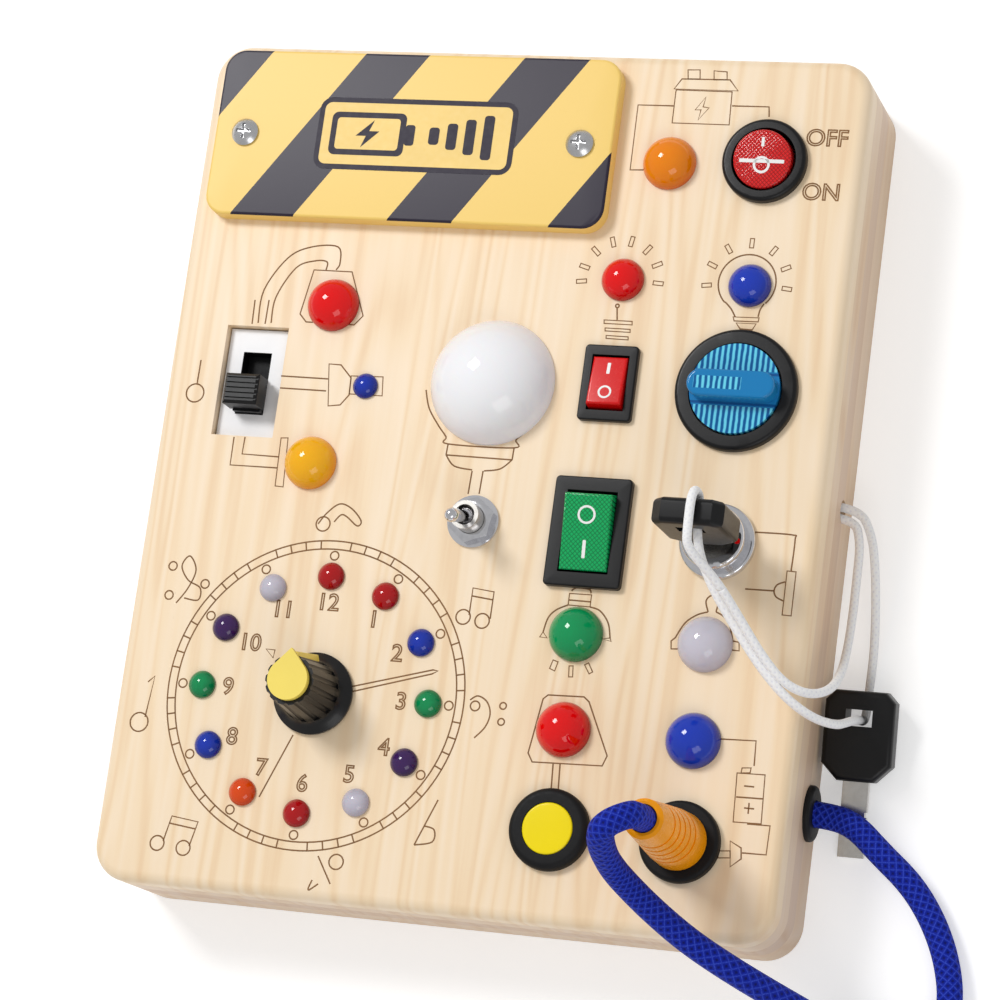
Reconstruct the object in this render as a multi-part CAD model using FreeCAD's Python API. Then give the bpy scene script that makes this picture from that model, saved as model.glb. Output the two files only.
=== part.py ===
import FreeCAD, Part
import math
import os

# Wooden busy board lying on its back: face up, top edge towards +Y, right edge towards +X.
# Millimetres. The origin is the middle of the board's back, on the surface it lies on.

V = FreeCAD.Vector

# Wooden body
board_w = 190.0
board_h = 239.0
corner_r = 10.0
face_round = 3.0
back_layer_t = 11.0
middle_layer_t = 8.0
upper_layer_t = 8.0
face_panel_t = 8.0
wall = 12.5
cavity_corner_r = 6.0

# Back cover, its screws and the battery door
cover_t = 4.0
cover_lap = 6.5
cover_gap = 0.3
cover_screw_d = 3.0
cover_screw_head_d = 6.0
cover_screw_head_t = 1.7
cover_screw_len = 9.5
cover_screw_inset = 4.0
screw_gap = 0.1
door_t = 2.0
door_lip = 3.6
door_gap = 0.3
door_screw_d = 2.0
door_screw_len = 3.4
door_screw_head_d = 3.2
door_screw_head_t = 0.8
battery_d = 14.4
battery_len = 50.4
battery_gap = 0.4
box_wall = 1.4
battery_x = -0.19 * board_w
battery_y = 0.351 * board_h

# Hazard-striped plate
plate_w = 0.6132 * board_w
plate_h = 0.203 * board_h
plate_t = 4.8
plate_corner_r = 6.0
plate_edge_r = 0.8
plate_side_gap = 4.9
plate_top_gap = 3.2
plate_x = plate_side_gap + plate_w / 2 - board_w / 2
plate_y = board_h / 2 - plate_top_gap - plate_h / 2
plate_screw_d = 3.5
plate_screw_head_d = 7.8
plate_screw_head_h = 2.4
plate_screw_len = 12.0
plate_screw_inset = 9.2
plate_screw_span = plate_w - 2 * plate_screw_inset
plate_screw_dy = -0.3
cross_w = 0.9
cross_len = 4.4
cross_deep = 1.2

# Columns and rows of the switches and lamps, from the board's middle. The right-hand column and
# the lowest row keep their distance from the edge, and the others share out the board.
col_b_inset = 26.7
row_socket_inset = 24.5
col_mid = 0.3
col_b = board_w / 2 - col_b_inset
col_a = col_b - 0.1858 * board_w
row_power = 0.3766 * board_h
row_bulb = 0.231 * board_h
row_turn = 0.1088 * board_h
row_key = -0.0636 * board_h
row_shade = -0.1787 * board_h
row_plug_lamp = -0.2858 * board_h
row_socket = row_socket_inset - board_h / 2

# Lamp caps
lamp_d = 14.8
lamp_h = 6.6
small_lamp_d = 11.8
small_lamp_h = 5.2
tiny_lamp_d = 7.0
tiny_lamp_h = 2.8
lamp_shaft_d = 9.0
small_lamp_shaft_d = 8.0
tiny_lamp_shaft_d = 4.8
lamp_shaft_len = 14.0
lamp_gap = 0.2
globe_d = 35.0
globe_h = 13.5
globe_shaft_d = 26.0
globe_shaft_len = 12.0
amber_x = 0.22 * board_w
amber_y = 0.3707 * board_h
cherry_x = -0.2568 * board_w
cherry_y = 0.1845 * board_h
sun_x = -0.2558 * board_w
sun_y = -0.0038 * board_h
pin_lamp_x = -0.1895 * board_w
pin_lamp_y = 0.0904 * board_h
globe_y = 0.1029 * board_h

# Clock of twelve lamps round a knob
clock_x = -0.1989 * board_w
clock_y = -0.2699 * board_h
clock_led_r = 0.136 * board_h
clock_led_d = 7.5
clock_led_h = 3.0
clock_led_shaft_d = 5.0
clock_board_d = 2 * clock_led_r + 11.0
clock_board_t = 1.6
clock_board_hole_d = 20.0
pot_d = 16.5
pot_h = 8.0
pot_bush_d = 7.0
pot_bush_h = 10.0
pot_shaft_d = 6.0
pot_shaft_top = 17.0
knob_skirt_d = 22.4
knob_skirt_h = 2.6
knob_base_d = 16.8
knob_top_d = 13.6
knob_h = 21.5
knob_lift = 0.6
knob_flutes = 14
knob_flute_d = 1.8
cap_d = 11.2
cap_h = 1.8
cap_tip = 8.4
cap_spigot_d = 6.0
cap_spigot_h = 2.4

# Slide switch sunk in its cut-out
slide_x = -0.3689 * board_w
slide_y = 0.0891 * board_h
slide_cut_w = 18.2
slide_cut_h = 31.5
slide_plate_gap = 0.4
slide_plate_t = 1.2
slide_plate_sink = 2.6
slide_slot_w = 8.4
slide_slot_h = 17.8
slide_body_w = 13.0
slide_body_h = 24.0
slide_body_deep = 12.0
slide_wall = 1.2
slide_knob_w = 8.0
slide_knob_h = 9.8
slide_knob_top = 6.4
slide_grip_w = 10.0
slide_grip_h = 8.6
slide_grip_t = 4.6
slide_grip_ribs = 6
slide_end_gap = 0.3

# Toggle switch
toggle_y = -0.0594 * board_h
toggle_body_w = 8.0
toggle_body_h = 13.0
toggle_body_deep = 12.0
toggle_bush_d = 7.8
toggle_bush_h = 8.6
toggle_washer_d = 14.4
toggle_washer_t = 0.8
toggle_nut_af = 11.2
toggle_nut_t = 2.4
toggle_mouth_d = 5.6
toggle_mouth_deep = 4.8
toggle_ball_d = 5.0
toggle_lever_base_d = 2.9
toggle_lever_tip_d = 3.9
toggle_lever_len = 12.5
toggle_pivot_down = 2.2
toggle_tilt = 12.0

# Rocker switches: bezel, opening, rocker and tilt
rocker_tilt = 9.0
rocker_side_gap = 0.4
rocker_end_gap = 0.5
rocker_wall = 1.2
rocker_floor = 1.2
rocker_panel_gap = 0.3
little_bezel_w = 15.0
little_bezel_h = 21.0
little_bezel_t = 1.8
little_rocker_w = 9.6
little_rocker_h = 13.8
little_rocker_t = 5.0
little_pivot_up = 0.6
little_deep = 14.0
big_bezel_w = 21.3
big_bezel_h = 30.0
big_bezel_t = 2.2
big_rocker_w = 13.2
big_rocker_h = 20.6
big_rocker_t = 7.0
big_pivot_up = 0.8
big_deep = 18.0
round_bezel_d = 23.3
round_bezel_t = 2.6
round_rocker_d = 16.0
round_rocker_t = 6.4
round_pivot_up = 1.2
round_deep = 16.0
bezel_corner_r = 1.2

# Rotary switch
rotary_bezel_d = 33.4
rotary_bezel_t = 2.4
rotary_well_d = 25.6
rotary_well_deep = 1.4
rotary_body_d = 27.4
rotary_deep = 15.0
rotary_stem_d = 10.0
rotary_stem_gap = 0.06
rotary_stem_len = 12.0
rotary_disc_d = 24.6
rotary_disc_t = 4.2
rotary_disc_lift = 0.4
rotary_grip_w = 7.6
rotary_grip_len = 24.0
rotary_grip_h = 5.2

# Key lock
lock_flange_d = 20.6
lock_flange_t = 2.0
lock_hub_d = 17.0
lock_hub_h = 7.0
lock_barrel_d = 15.6
lock_deep = 19.0
lock_nut_d = 22.0
lock_nut_t = 2.6
plug_core_d = 11.8
core_gap = 0.06
core_floor = 2.0
core_sink = 0.5

# Keys
blade_w = 7.0
blade_t = 2.0
blade_gap = 0.15
blade_in = 15.0
blade_out = 5.0
head_w = 19.0
head_t = 7.0
head_len = 24.0
head_chamfer = 4.5
head_edge_r = 1.6
eye_w = 7.2
eye_h = 4.4
eye_from_end = 5.0

# Push button
push_ring_d = 21.8
push_ring_t = 3.2
push_body_d = 15.8
push_deep = 16.0
push_cap_d = 13.8
push_cap_gap = 0.08
push_cap_top = 3.4
push_cap_len = 7.0
push_travel = 2.4
push_stop_gap = 0.4
push_nut_d = 22.0
push_nut_t = 2.4

# Socket and plug
jack_ring_d = 21.4
jack_ring_t = 3.0
jack_body_d = 15.8
jack_deep = 20.0
jack_bore_d = 6.5
jack_bore_deep = 18.0
plug_pin_d = 6.35
plug_pin_len = 16.0
plug_base_d = 15.6
plug_mid_d = 15.0
plug_end_d = 10.4
plug_len = 36.0
plug_base_h = 8.0
plug_ribs = 5
plug_rib_pitch = 4.0
plug_rib_deep = 0.5
plug_rib_w = 1.0
plug_cord_deep = 4.0

# Rope and the grommet that it leaves the board by
rope_d = 7.0
rope_gap = 0.2
grommet_y = -80.7
grommet_z = 9.2
grommet_flange_d = 15.0
grommet_flange_t = 1.8
grommet_neck_d = 10.2
grommet_neck_gap = 0.1
grommet_neck_len = 9.0
grommet_deep = 4.0

# White key cord and its hole
cord_d = 2.4
cord_hole_y = 0.8
cord_hole_z = 11.0
cord_hole_d = 6.2
cord_hole_deep = 6.0
cord_pair = 1.5

# Spare key lying beside the board
spare_gap = 10.6
spare_x = board_w / 2 + spare_gap
spare_head_y = -46.0
spare_lift = 4.0

board_t = back_layer_t + middle_layer_t + upper_layer_t + face_panel_t
face_z = board_t
panel_under = face_z - face_panel_t
half_w = board_w / 2
lock_x = col_b
lock_y = row_key
jack_x = col_b
jack_y = row_socket


def box(cx, cy, w, h, z0, z1):
    """A block centred on cx, cy between two heights."""
    return Part.makeBox(w, h, z1 - z0, V(cx - w / 2, cy - h / 2, z0))


def cyl(cx, cy, d, z0, z1):
    """An upright cylinder between two heights."""
    return Part.makeCylinder(d / 2, z1 - z0, V(cx, cy, z0))


def upright_edges(shape):
    """The edges that stand parallel to Z."""
    found = []
    for edge in shape.Edges:
        if len(edge.Vertexes) < 2:
            continue
        a, b = edge.Vertexes[0].Point, edge.Vertexes[-1].Point
        if abs(a.x - b.x) < 1e-6 and abs(a.y - b.y) < 1e-6 and abs(a.z - b.z) > 1e-6:
            found.append(edge)
    return found


def edges_at(shape, z):
    """The edges that lie level at height z."""
    return [e for e in shape.Edges if abs(e.BoundBox.ZMin - z) < 1e-6 and abs(e.BoundBox.ZMax - z) < 1e-6]


def rounded_box(cx, cy, w, h, r, z0, z1):
    """A block with rounded upright corners."""
    block = box(cx, cy, w, h, z0, z1)
    return block.makeFillet(r, upright_edges(block))


def turned(cx, cy, profile):
    """A solid of revolution about the upright line at cx, cy from (radius, height) points."""
    points = [V(cx + r, cy, z) for r, z in profile]
    wire = Part.makePolygon(points + [points[0]])
    return Part.Face(wire).revolve(V(cx, cy, 0), V(0, 0, 1), 360)


def dome(cx, cy, d, h, z0):
    """A flattened dome of diameter d and height h whose flat foot is at z0."""
    foot = min(0.8, h / 4)
    radius = (d * d / 4 + (h - foot) ** 2) / (2 * (h - foot))
    low, high = z0 + foot, z0 + h
    middle = high - radius
    half = math.acos((low - middle) / radius) / 2
    via = V(cx + radius * math.sin(half), cy, middle + radius * math.cos(half))
    edges = [
        Part.LineSegment(V(cx, cy, z0), V(cx + d / 2, cy, z0)).toShape(),
        Part.LineSegment(V(cx + d / 2, cy, z0), V(cx + d / 2, cy, low)).toShape(),
        Part.Arc(V(cx + d / 2, cy, low), via, V(cx, cy, high)).toShape(),
        Part.LineSegment(V(cx, cy, high), V(cx, cy, z0)).toShape(),
    ]
    return Part.Face(Part.Wire(edges)).revolve(V(cx, cy, 0), V(0, 0, 1), 360)


def lamp(cx, cy, d, h, shaft_d, shaft_len):
    """A lamp cap seated on the face, with the shaft that goes down its hole."""
    return dome(cx, cy, d, h, face_z).fuse(cyl(cx, cy, shaft_d, face_z - shaft_len, face_z + 0.4))


def turn_about_x(shape, y, z, angle):
    """Turn a copy of a shape about the line parallel to X through y, z."""
    copy = shape.copy()
    copy.rotate(V(0, y, z), V(1, 0, 0), angle)
    return copy


# Places that several pieces share

clock_hours = {
    "clock_lamps_red": [12, 1, 6],
    "clock_lamps_orange": [7],
    "clock_lamps_blue": [2, 8],
    "clock_lamps_green": [3, 9],
    "clock_lamps_violet": [4, 10],
    "clock_lamps_clear": [5, 11],
}


def hour_place(hour):
    angle = math.radians(90 - 30 * hour)
    return clock_x + clock_led_r * math.cos(angle), clock_y + clock_led_r * math.sin(angle)


lamp_sizes = {
    "large": (lamp_d, lamp_h, lamp_shaft_d, lamp_shaft_len),
    "medium": (small_lamp_d, small_lamp_h, small_lamp_shaft_d, lamp_shaft_len),
    "small": (tiny_lamp_d, tiny_lamp_h, tiny_lamp_shaft_d, lamp_shaft_len),
    "globe": (globe_d, globe_h, globe_shaft_d, globe_shaft_len),
}
lamp_places = {
    "lamp_amber": (amber_x, amber_y, "large"),
    "lamp_cherry": (cherry_x, cherry_y, "large"),
    "lamp_sun": (sun_x, sun_y, "large"),
    "lamp_pin_blue": (pin_lamp_x, pin_lamp_y, "small"),
    "lamp_globe": (col_mid, globe_y, "globe"),
    "lamp_bulb_red": (col_a, row_bulb, "medium"),
    "lamp_bulb_blue": (col_b, row_bulb, "medium"),
    "lamp_shade_green": (col_a, row_shade, "large"),
    "lamp_shade_grey": (col_b, row_shade, "large"),
    "lamp_plug_red": (col_a, row_plug_lamp, "large"),
    "lamp_plug_blue": (col_b, row_plug_lamp, "large"),
}

plate_screw_places = [
    (plate_x + side * plate_screw_span / 2, plate_y + plate_screw_dy) for side in (-1, 1)
]

cover_w = board_w - 2 * (wall - cover_lap)
cover_h = board_h - 2 * (wall - cover_lap)
cover_screw_places = [
    (sx * (cover_w / 2 - cover_screw_inset), sy * (cover_h / 2 - cover_screw_inset))
    for sx in (-1, 1) for sy in (-1, 0, 1)
]


def rocker_opening(w, h, t):
    """Width and length of the opening that a tilting rocker needs."""
    tilt = math.radians(rocker_tilt)
    reach = h * math.cos(tilt) + t * math.sin(tilt)
    return w + 2 * rocker_side_gap, reach + 2 * rocker_end_gap


little_open_w, little_open_h = rocker_opening(little_rocker_w, little_rocker_h, little_rocker_t)
big_open_w, big_open_h = rocker_opening(big_rocker_w, big_rocker_h, big_rocker_t)
round_open_d = rocker_opening(round_rocker_d, round_rocker_d, round_rocker_t)[1]
slide_travel = slide_slot_h - slide_knob_h - 2 * slide_end_gap
slide_floor = face_z - slide_plate_sink
slide_knob_y = slide_y - slide_travel / 2


# The wooden body


def panel_cuts():
    """Everything that is cut through the face panel."""
    low, high = panel_under - 1, face_z + 1
    cuts = []
    for cx, cy, size in lamp_places.values():
        cuts.append(cyl(cx, cy, lamp_sizes[size][2] + 2 * lamp_gap, low, high))
    for hour in range(1, 13):
        cx, cy = hour_place(hour)
        cuts.append(cyl(cx, cy, clock_led_shaft_d + 2 * lamp_gap, low, high))
    for cx, cy in plate_screw_places:
        cuts.append(cyl(cx, cy, plate_screw_d + 2 * screw_gap, low, high))
    cuts.append(cyl(clock_x, clock_y, pot_bush_d + 2 * rocker_panel_gap, low, high))
    cuts.append(box(slide_x, slide_y, slide_cut_w, slide_cut_h, low, high))
    cuts.append(cyl(col_mid, toggle_y, toggle_bush_d + 2 * screw_gap, low, high))
    for cx, cy, w, h in (
        (col_a, row_turn, little_open_w, little_open_h),
        (col_a, row_key, big_open_w, big_open_h),
    ):
        grow = 2 * (rocker_wall + rocker_panel_gap)
        cuts.append(box(cx, cy, w + grow, h + grow, low, high))
    round_d = round_open_d + 2 * (rocker_wall + rocker_panel_gap)
    cuts.append(cyl(col_b, row_power, round_d, low, high))
    cuts.append(cyl(col_b, row_turn, rotary_body_d + 2 * rocker_panel_gap, low, high))
    cuts.append(cyl(lock_x, lock_y, lock_barrel_d + 2 * rocker_panel_gap, low, high))
    cuts.append(cyl(col_a, row_socket, push_body_d + 2 * rocker_panel_gap, low, high))
    cuts.append(cyl(jack_x, jack_y, jack_body_d + 2 * rocker_panel_gap, low, high))
    return cuts


def face_panel():
    panel = rounded_box(0, 0, board_w, board_h, corner_r, panel_under, face_z)
    panel = panel.makeFillet(face_round, edges_at(panel, face_z))
    return panel.cut(Part.makeCompound(panel_cuts()))


def frame_ring(z0, z1):
    """One layer of the frame, a ring with a rounded inner corner."""
    outer = rounded_box(0, 0, board_w, board_h, corner_r, z0, z1)
    inner = rounded_box(0, 0, board_w - 2 * wall, board_h - 2 * wall, cavity_corner_r, z0 - 1, z1 + 1)
    return outer.cut(inner)


def side_cuts():
    """The grommet's hole and the key cord's blind hole in the right-hand wall."""
    along = V(1, 0, 0)
    neck_d = grommet_neck_d + 2 * grommet_neck_gap
    neck = Part.makeCylinder(
        neck_d / 2, grommet_neck_len + 1, V(half_w - grommet_neck_len, grommet_y, grommet_z), along)
    cord = Part.makeCylinder(
        cord_hole_d / 2, cord_hole_deep + 1, V(half_w - cord_hole_deep, cord_hole_y, cord_hole_z), along)
    return neck.fuse(cord)


def frame_back():
    ring = frame_ring(0, back_layer_t)
    rebate = rounded_box(
        0, 0, cover_w + 2 * cover_gap, cover_h + 2 * cover_gap, cavity_corner_r, -1, cover_t)
    ring = ring.cut(rebate).cut(side_cuts())
    pilots = [cyl(x, y, cover_screw_d + 2 * screw_gap, cover_t - 1, cover_screw_len + 0.3)
              for x, y in cover_screw_places]
    return ring.cut(Part.makeCompound(pilots))


def frame_middle():
    return frame_ring(back_layer_t, back_layer_t + middle_layer_t).cut(side_cuts())


def frame_upper():
    return frame_ring(back_layer_t + middle_layer_t, panel_under)


def back_cover():
    cover = rounded_box(0, 0, cover_w, cover_h, cavity_corner_r, 0, cover_t)
    door_w, door_h = door_size()
    door_space = box(
        battery_x, battery_y, door_w + 2 * door_gap, door_h + 2 * door_gap, -1, door_t)
    way_in = box(battery_x, battery_y, *holder_size(), -1, cover_t + 1)
    cover = cover.cut(door_space).cut(way_in).cut(door_screw(screw_gap))
    for x, y in cover_screw_places:
        cover = cover.cut(cyl(x, y, cover_screw_d + 2 * screw_gap, -1, cover_t + 1))
        cover = cover.cut(countersink(x, y, cover_screw_head_d, cover_screw_head_t, screw_gap))
    return cover


def countersink(x, y, head_d, head_t, gap):
    return Part.makeCone(head_d / 2 + gap, cover_screw_d / 2 + gap, head_t, V(x, y, 0)).fuse(
        cyl(x, y, head_d + 2 * gap, -1, 0))


def screws():
    """The back cover's flush screws, the battery door's one and the plate's two domed ones."""
    screws = []
    for x, y in cover_screw_places:
        head = Part.makeCone(cover_screw_head_d / 2, cover_screw_d / 2, cover_screw_head_t, V(x, y, 0))
        screw = head.fuse(cyl(x, y, cover_screw_d, cover_screw_head_t, cover_screw_len))
        screws.append(screw.cut(cross_recess(x, y, 0, 1)))
    screws.append(door_screw().cut(cross_recess(*door_screw_place(), 0, 1)))
    top = face_z + plate_t
    for x, y in plate_screw_places:
        head = dome(x, y, plate_screw_head_d, plate_screw_head_h, top)
        screw = head.fuse(cyl(x, y, plate_screw_d, top - plate_screw_len, top + 0.5))
        screws.append(screw.cut(cross_recess(x, y, top + plate_screw_head_h, -1)))
    return Part.makeCompound(screws)


def cross_recess(x, y, z, sign):
    """A cross-shaped driver recess cut from height z into a head."""
    low, high = sorted((z - sign, z + sign * cross_deep))
    arms = box(x, y, cross_len, cross_w, low, high)
    return arms.fuse(box(x, y, cross_w, cross_len, low, high))


def holder_size():
    """The inner width and height of the battery holder, and of the way into it."""
    return battery_len + 2 * battery_gap, 2 * battery_d + 3 * battery_gap


def door_size():
    w, h = holder_size()
    return w + 2 * door_lip, h + 2 * door_lip


def door_screw_place():
    return battery_x + door_size()[0] / 2 - door_lip / 2, battery_y


def door_screw(gap=0.0):
    """The door's small screw, or the hole for it with a gap all round."""
    x, y = door_screw_place()
    head = cyl(x, y, door_screw_head_d + 2 * gap, 0, door_screw_head_t)
    return head.fuse(cyl(x, y, door_screw_d + 2 * gap, 0, door_screw_len + gap))


def battery_door():
    door = box(battery_x, battery_y, *door_size(), 0, door_t)
    return door.cut(door_screw(screw_gap))


# Battery holder, cells and the clock's circuit board


def battery_holder():
    inner_w, inner_h = holder_size()
    top = cover_t + battery_d + battery_gap + box_wall
    outer = box(battery_x, battery_y, inner_w + 2 * box_wall, inner_h + 2 * box_wall, cover_t, top)
    inner = box(battery_x, battery_y, inner_w, inner_h, cover_t - 1, top - box_wall)
    return outer.cut(inner)


def battery_cells():
    """Two round cells side by side, resting on the door."""
    cells = []
    for side in (-1, 1):
        y = battery_y + side * (battery_d + battery_gap) / 2
        start = V(battery_x - battery_len / 2 + 1, y, door_t + battery_d / 2)
        can = Part.makeCylinder(battery_d / 2, battery_len - 2, start, V(1, 0, 0))
        tip = Part.makeCylinder(2.6, 1, start + V(battery_len - 2, 0, 0), V(1, 0, 0))
        cells.append(can.fuse(tip))
    return Part.makeCompound(cells)


def clock_board():
    """The round board that carries the clock's twelve lamps, under the face panel."""
    top = face_z - lamp_shaft_len + 3
    disc = cyl(clock_x, clock_y, clock_board_d, top - clock_board_t, top)
    return disc.cut(cyl(clock_x, clock_y, clock_board_hole_d, top - 5, top + 1))


def clock_lamps(hours):
    """Lamp caps on the face whose legs reach down to the clock board."""
    length = lamp_shaft_len - 3
    lamps = [lamp(*hour_place(h), clock_led_d, clock_led_h, clock_led_shaft_d, length) for h in hours]
    return Part.makeCompound(lamps)


# Hazard plate


def hazard_plate():
    plate = rounded_box(plate_x, plate_y, plate_w, plate_h, plate_corner_r, face_z, face_z + plate_t)
    plate = plate.makeFillet(plate_edge_r, edges_at(plate, face_z + plate_t))
    for x, y in plate_screw_places:
        plate = plate.cut(cyl(x, y, plate_screw_d + 2 * screw_gap, face_z - 1, face_z + plate_t + 1))
    return plate


# Clock knob


def knob_pot():
    body = cyl(clock_x, clock_y, pot_d, panel_under - pot_h, panel_under)
    bush = cyl(clock_x, clock_y, pot_bush_d, panel_under - 1, panel_under + pot_bush_h)
    bore = cyl(clock_x, clock_y, pot_shaft_d + 2 * core_gap, panel_under - pot_h + 1, face_z + 20)
    return body.fuse(bush).cut(bore)


def knob_shaft():
    return cyl(clock_x, clock_y, pot_shaft_d, panel_under - pot_h + 1, face_z + pot_shaft_top)


def clock_knob():
    """A skirted knob with flutes round its tapered grip."""
    low = face_z + knob_lift
    top = face_z + knob_h - cap_h
    skirt_top = low + knob_skirt_h
    body = turned(clock_x, clock_y, [
        (0, low), (knob_skirt_d / 2, low), (knob_skirt_d / 2, low + 0.8),
        (knob_base_d / 2 + 0.6, skirt_top), (knob_base_d / 2, skirt_top + 0.8),
        (knob_top_d / 2, top), (0, top)])
    flutes = []
    for step in range(knob_flutes):
        angle = 2 * math.pi * (step + 0.5) / knob_flutes
        away = V(math.cos(angle), math.sin(angle), 0)
        foot = V(clock_x, clock_y, skirt_top + 1.2) + away * (knob_base_d / 2 + 0.35)
        head = V(clock_x, clock_y, top + 1) + away * (knob_top_d / 2 + 0.35)
        flutes.append(Part.makeCylinder(knob_flute_d / 2, (head - foot).Length, foot, head - foot))
    bore = cyl(clock_x, clock_y, pot_shaft_d, low - 1, face_z + pot_shaft_top)
    dish_d = pot_bush_d + 2 * rocker_panel_gap
    dish = cyl(clock_x, clock_y, dish_d, low - 1, panel_under + pot_bush_h + rocker_panel_gap)
    spigot = cyl(clock_x, clock_y, cap_spigot_d, top - cap_spigot_h, top + 1)
    return body.cut(Part.makeCompound(flutes)).cut(bore).cut(dish).cut(spigot)


def knob_cap():
    """The yellow teardrop on top of the knob, pointing at twelve."""
    low = face_z + knob_h - cap_h
    high = face_z + knob_h
    r = cap_d / 2
    reach = math.acos(r / cap_tip)
    touch = [V(clock_x + s * r * math.sin(reach), clock_y + r * math.cos(reach), low) for s in (-1, 1)]
    tip = V(clock_x, clock_y + cap_tip, low)
    wire = Part.Wire([
        Part.LineSegment(touch[0], tip).toShape(),
        Part.LineSegment(tip, touch[1]).toShape(),
        Part.Arc(touch[1], V(clock_x, clock_y - r, low), touch[0]).toShape(),
    ])
    cap = Part.Face(wire).extrude(V(0, 0, high - low))
    return cap.fuse(cyl(clock_x, clock_y, cap_spigot_d, low - cap_spigot_h, low + 0.5))


# Slide switch


def slide_plate():
    """The white plate sunk in the cut-out, with the switch's box behind its slot."""
    w = slide_cut_w - 2 * slide_plate_gap
    h = slide_cut_h - 2 * slide_plate_gap
    plate = box(slide_x, slide_y, w, h, slide_floor - slide_plate_t, slide_floor)
    bottom = slide_floor - slide_body_deep
    body = box(slide_x, slide_y, slide_body_w, slide_body_h, bottom, slide_floor - 0.5)
    inner = box(slide_x, slide_y, slide_slot_w, slide_slot_h, bottom + slide_wall, slide_floor + 1)
    ear_low = panel_under - slide_wall
    ears = box(slide_x, slide_y, slide_body_w, slide_cut_h + 2 * slide_body_h / 6, ear_low, panel_under)
    return plate.fuse(body).fuse(ears).cut(inner)


def slide_knob():
    stem_low = slide_floor - 4
    grip_low = slide_floor + slide_knob_top - slide_grip_t
    grip_high = slide_floor + slide_knob_top + 2.4
    stem = box(slide_x, slide_knob_y, slide_knob_w, slide_knob_h, stem_low, grip_low + 0.5)
    grip = box(slide_x, slide_knob_y, slide_grip_w, slide_grip_h, grip_low, grip_high)
    grip = grip.makeChamfer(0.8, edges_at(grip, grip_high))
    pitch = slide_grip_h / slide_grip_ribs
    for step in range(slide_grip_ribs - 1):
        y = slide_knob_y - slide_grip_h / 2 + pitch * (step + 1)
        grip = grip.cut(box(slide_x, y, slide_grip_w + 1, pitch * 0.4, grip_high - 0.5, grip_high + 1))
    return stem.fuse(grip)


# Toggle switch

toggle_pivot_z = panel_under + face_panel_t + toggle_bush_h - toggle_pivot_down


def toggle_body():
    low = panel_under - toggle_body_deep
    top = face_z + toggle_bush_h
    body = box(col_mid, toggle_y, toggle_body_w, toggle_body_h, low, panel_under)
    bush = cyl(col_mid, toggle_y, toggle_bush_d, panel_under - 1, top)
    mouth = cyl(col_mid, toggle_y, toggle_mouth_d, top - toggle_mouth_deep, top + 1)
    return body.fuse(bush).cut(mouth)


def toggle_washer():
    disc = cyl(col_mid, toggle_y, toggle_washer_d, face_z, face_z + toggle_washer_t)
    return disc.cut(cyl(col_mid, toggle_y, toggle_bush_d + 2 * screw_gap, face_z - 1, face_z + 5))


def toggle_nut():
    low = face_z + toggle_washer_t
    r = toggle_nut_af / math.sqrt(3)
    corners = [V(col_mid + r * math.cos(math.pi * k / 3 + 0.35), toggle_y + r * math.sin(math.pi * k / 3 + 0.35), low)
               for k in range(7)]
    nut = Part.Face(Part.makePolygon(corners[:6] + [corners[0]])).extrude(V(0, 0, toggle_nut_t))
    cone = turned(col_mid, toggle_y, [
        (0, low), (r, low), (r, low + toggle_nut_t - 0.6), (r - 1.1, low + toggle_nut_t), (0, low + toggle_nut_t)])
    bore = cyl(col_mid, toggle_y, toggle_bush_d + 2 * screw_gap, low - 1, low + toggle_nut_t + 1)
    return nut.common(cone).cut(bore)


def toggle_lever():
    ball = Part.makeSphere(toggle_ball_d / 2, V(col_mid, toggle_y, toggle_pivot_z))
    stick = Part.makeCone(
        toggle_lever_base_d / 2, toggle_lever_tip_d / 2, toggle_lever_len, V(col_mid, toggle_y, toggle_pivot_z))
    tip = Part.makeSphere(toggle_lever_tip_d / 2, V(col_mid, toggle_y, toggle_pivot_z + toggle_lever_len))
    return turn_about_x(ball.fuse(stick).fuse(tip), toggle_y, toggle_pivot_z, toggle_tilt)


# Rocker switches


def rocker_bezel(cx, cy, bezel_w, bezel_h, bezel_t, open_w, open_h, deep):
    """A bezel on the face with the closed well that the rocker tilts in."""
    rim = rounded_box(cx, cy, bezel_w, bezel_h, bezel_corner_r, face_z, face_z + bezel_t)
    rim = rim.makeFillet(0.5, edges_at(rim, face_z + bezel_t))
    bottom = face_z - deep
    well = box(cx, cy, open_w + 2 * rocker_wall, open_h + 2 * rocker_wall, bottom, face_z + 0.5)
    inner = box(cx, cy, open_w, open_h, bottom + rocker_floor, face_z + bezel_t + 1)
    return rim.fuse(well).cut(inner)


def rocker(cx, cy, w, h, t, pivot_up, tilt):
    """A rocker block with softened edges and the stem under its middle, tilted about its pivot."""
    z = face_z + pivot_up
    block = box(cx, cy, w, h, z - t / 2, z + t / 2)
    block = block.makeFillet(0.7, edges_at(block, z + t / 2))
    stem = box(cx, cy, w * 0.6, h * 0.25, z - t / 2 - 2.5, z)
    return turn_about_x(block.fuse(stem), cy, z, tilt)


def little_bezel():
    return rocker_bezel(
        col_a, row_turn, little_bezel_w, little_bezel_h, little_bezel_t, little_open_w, little_open_h, little_deep)


def little_rocker():
    return rocker(
        col_a, row_turn, little_rocker_w, little_rocker_h, little_rocker_t, little_pivot_up, -rocker_tilt)


def big_bezel():
    return rocker_bezel(col_a, row_key, big_bezel_w, big_bezel_h, big_bezel_t, big_open_w, big_open_h, big_deep)


def big_rocker():
    return rocker(col_a, row_key, big_rocker_w, big_rocker_h, big_rocker_t, big_pivot_up, rocker_tilt)


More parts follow.
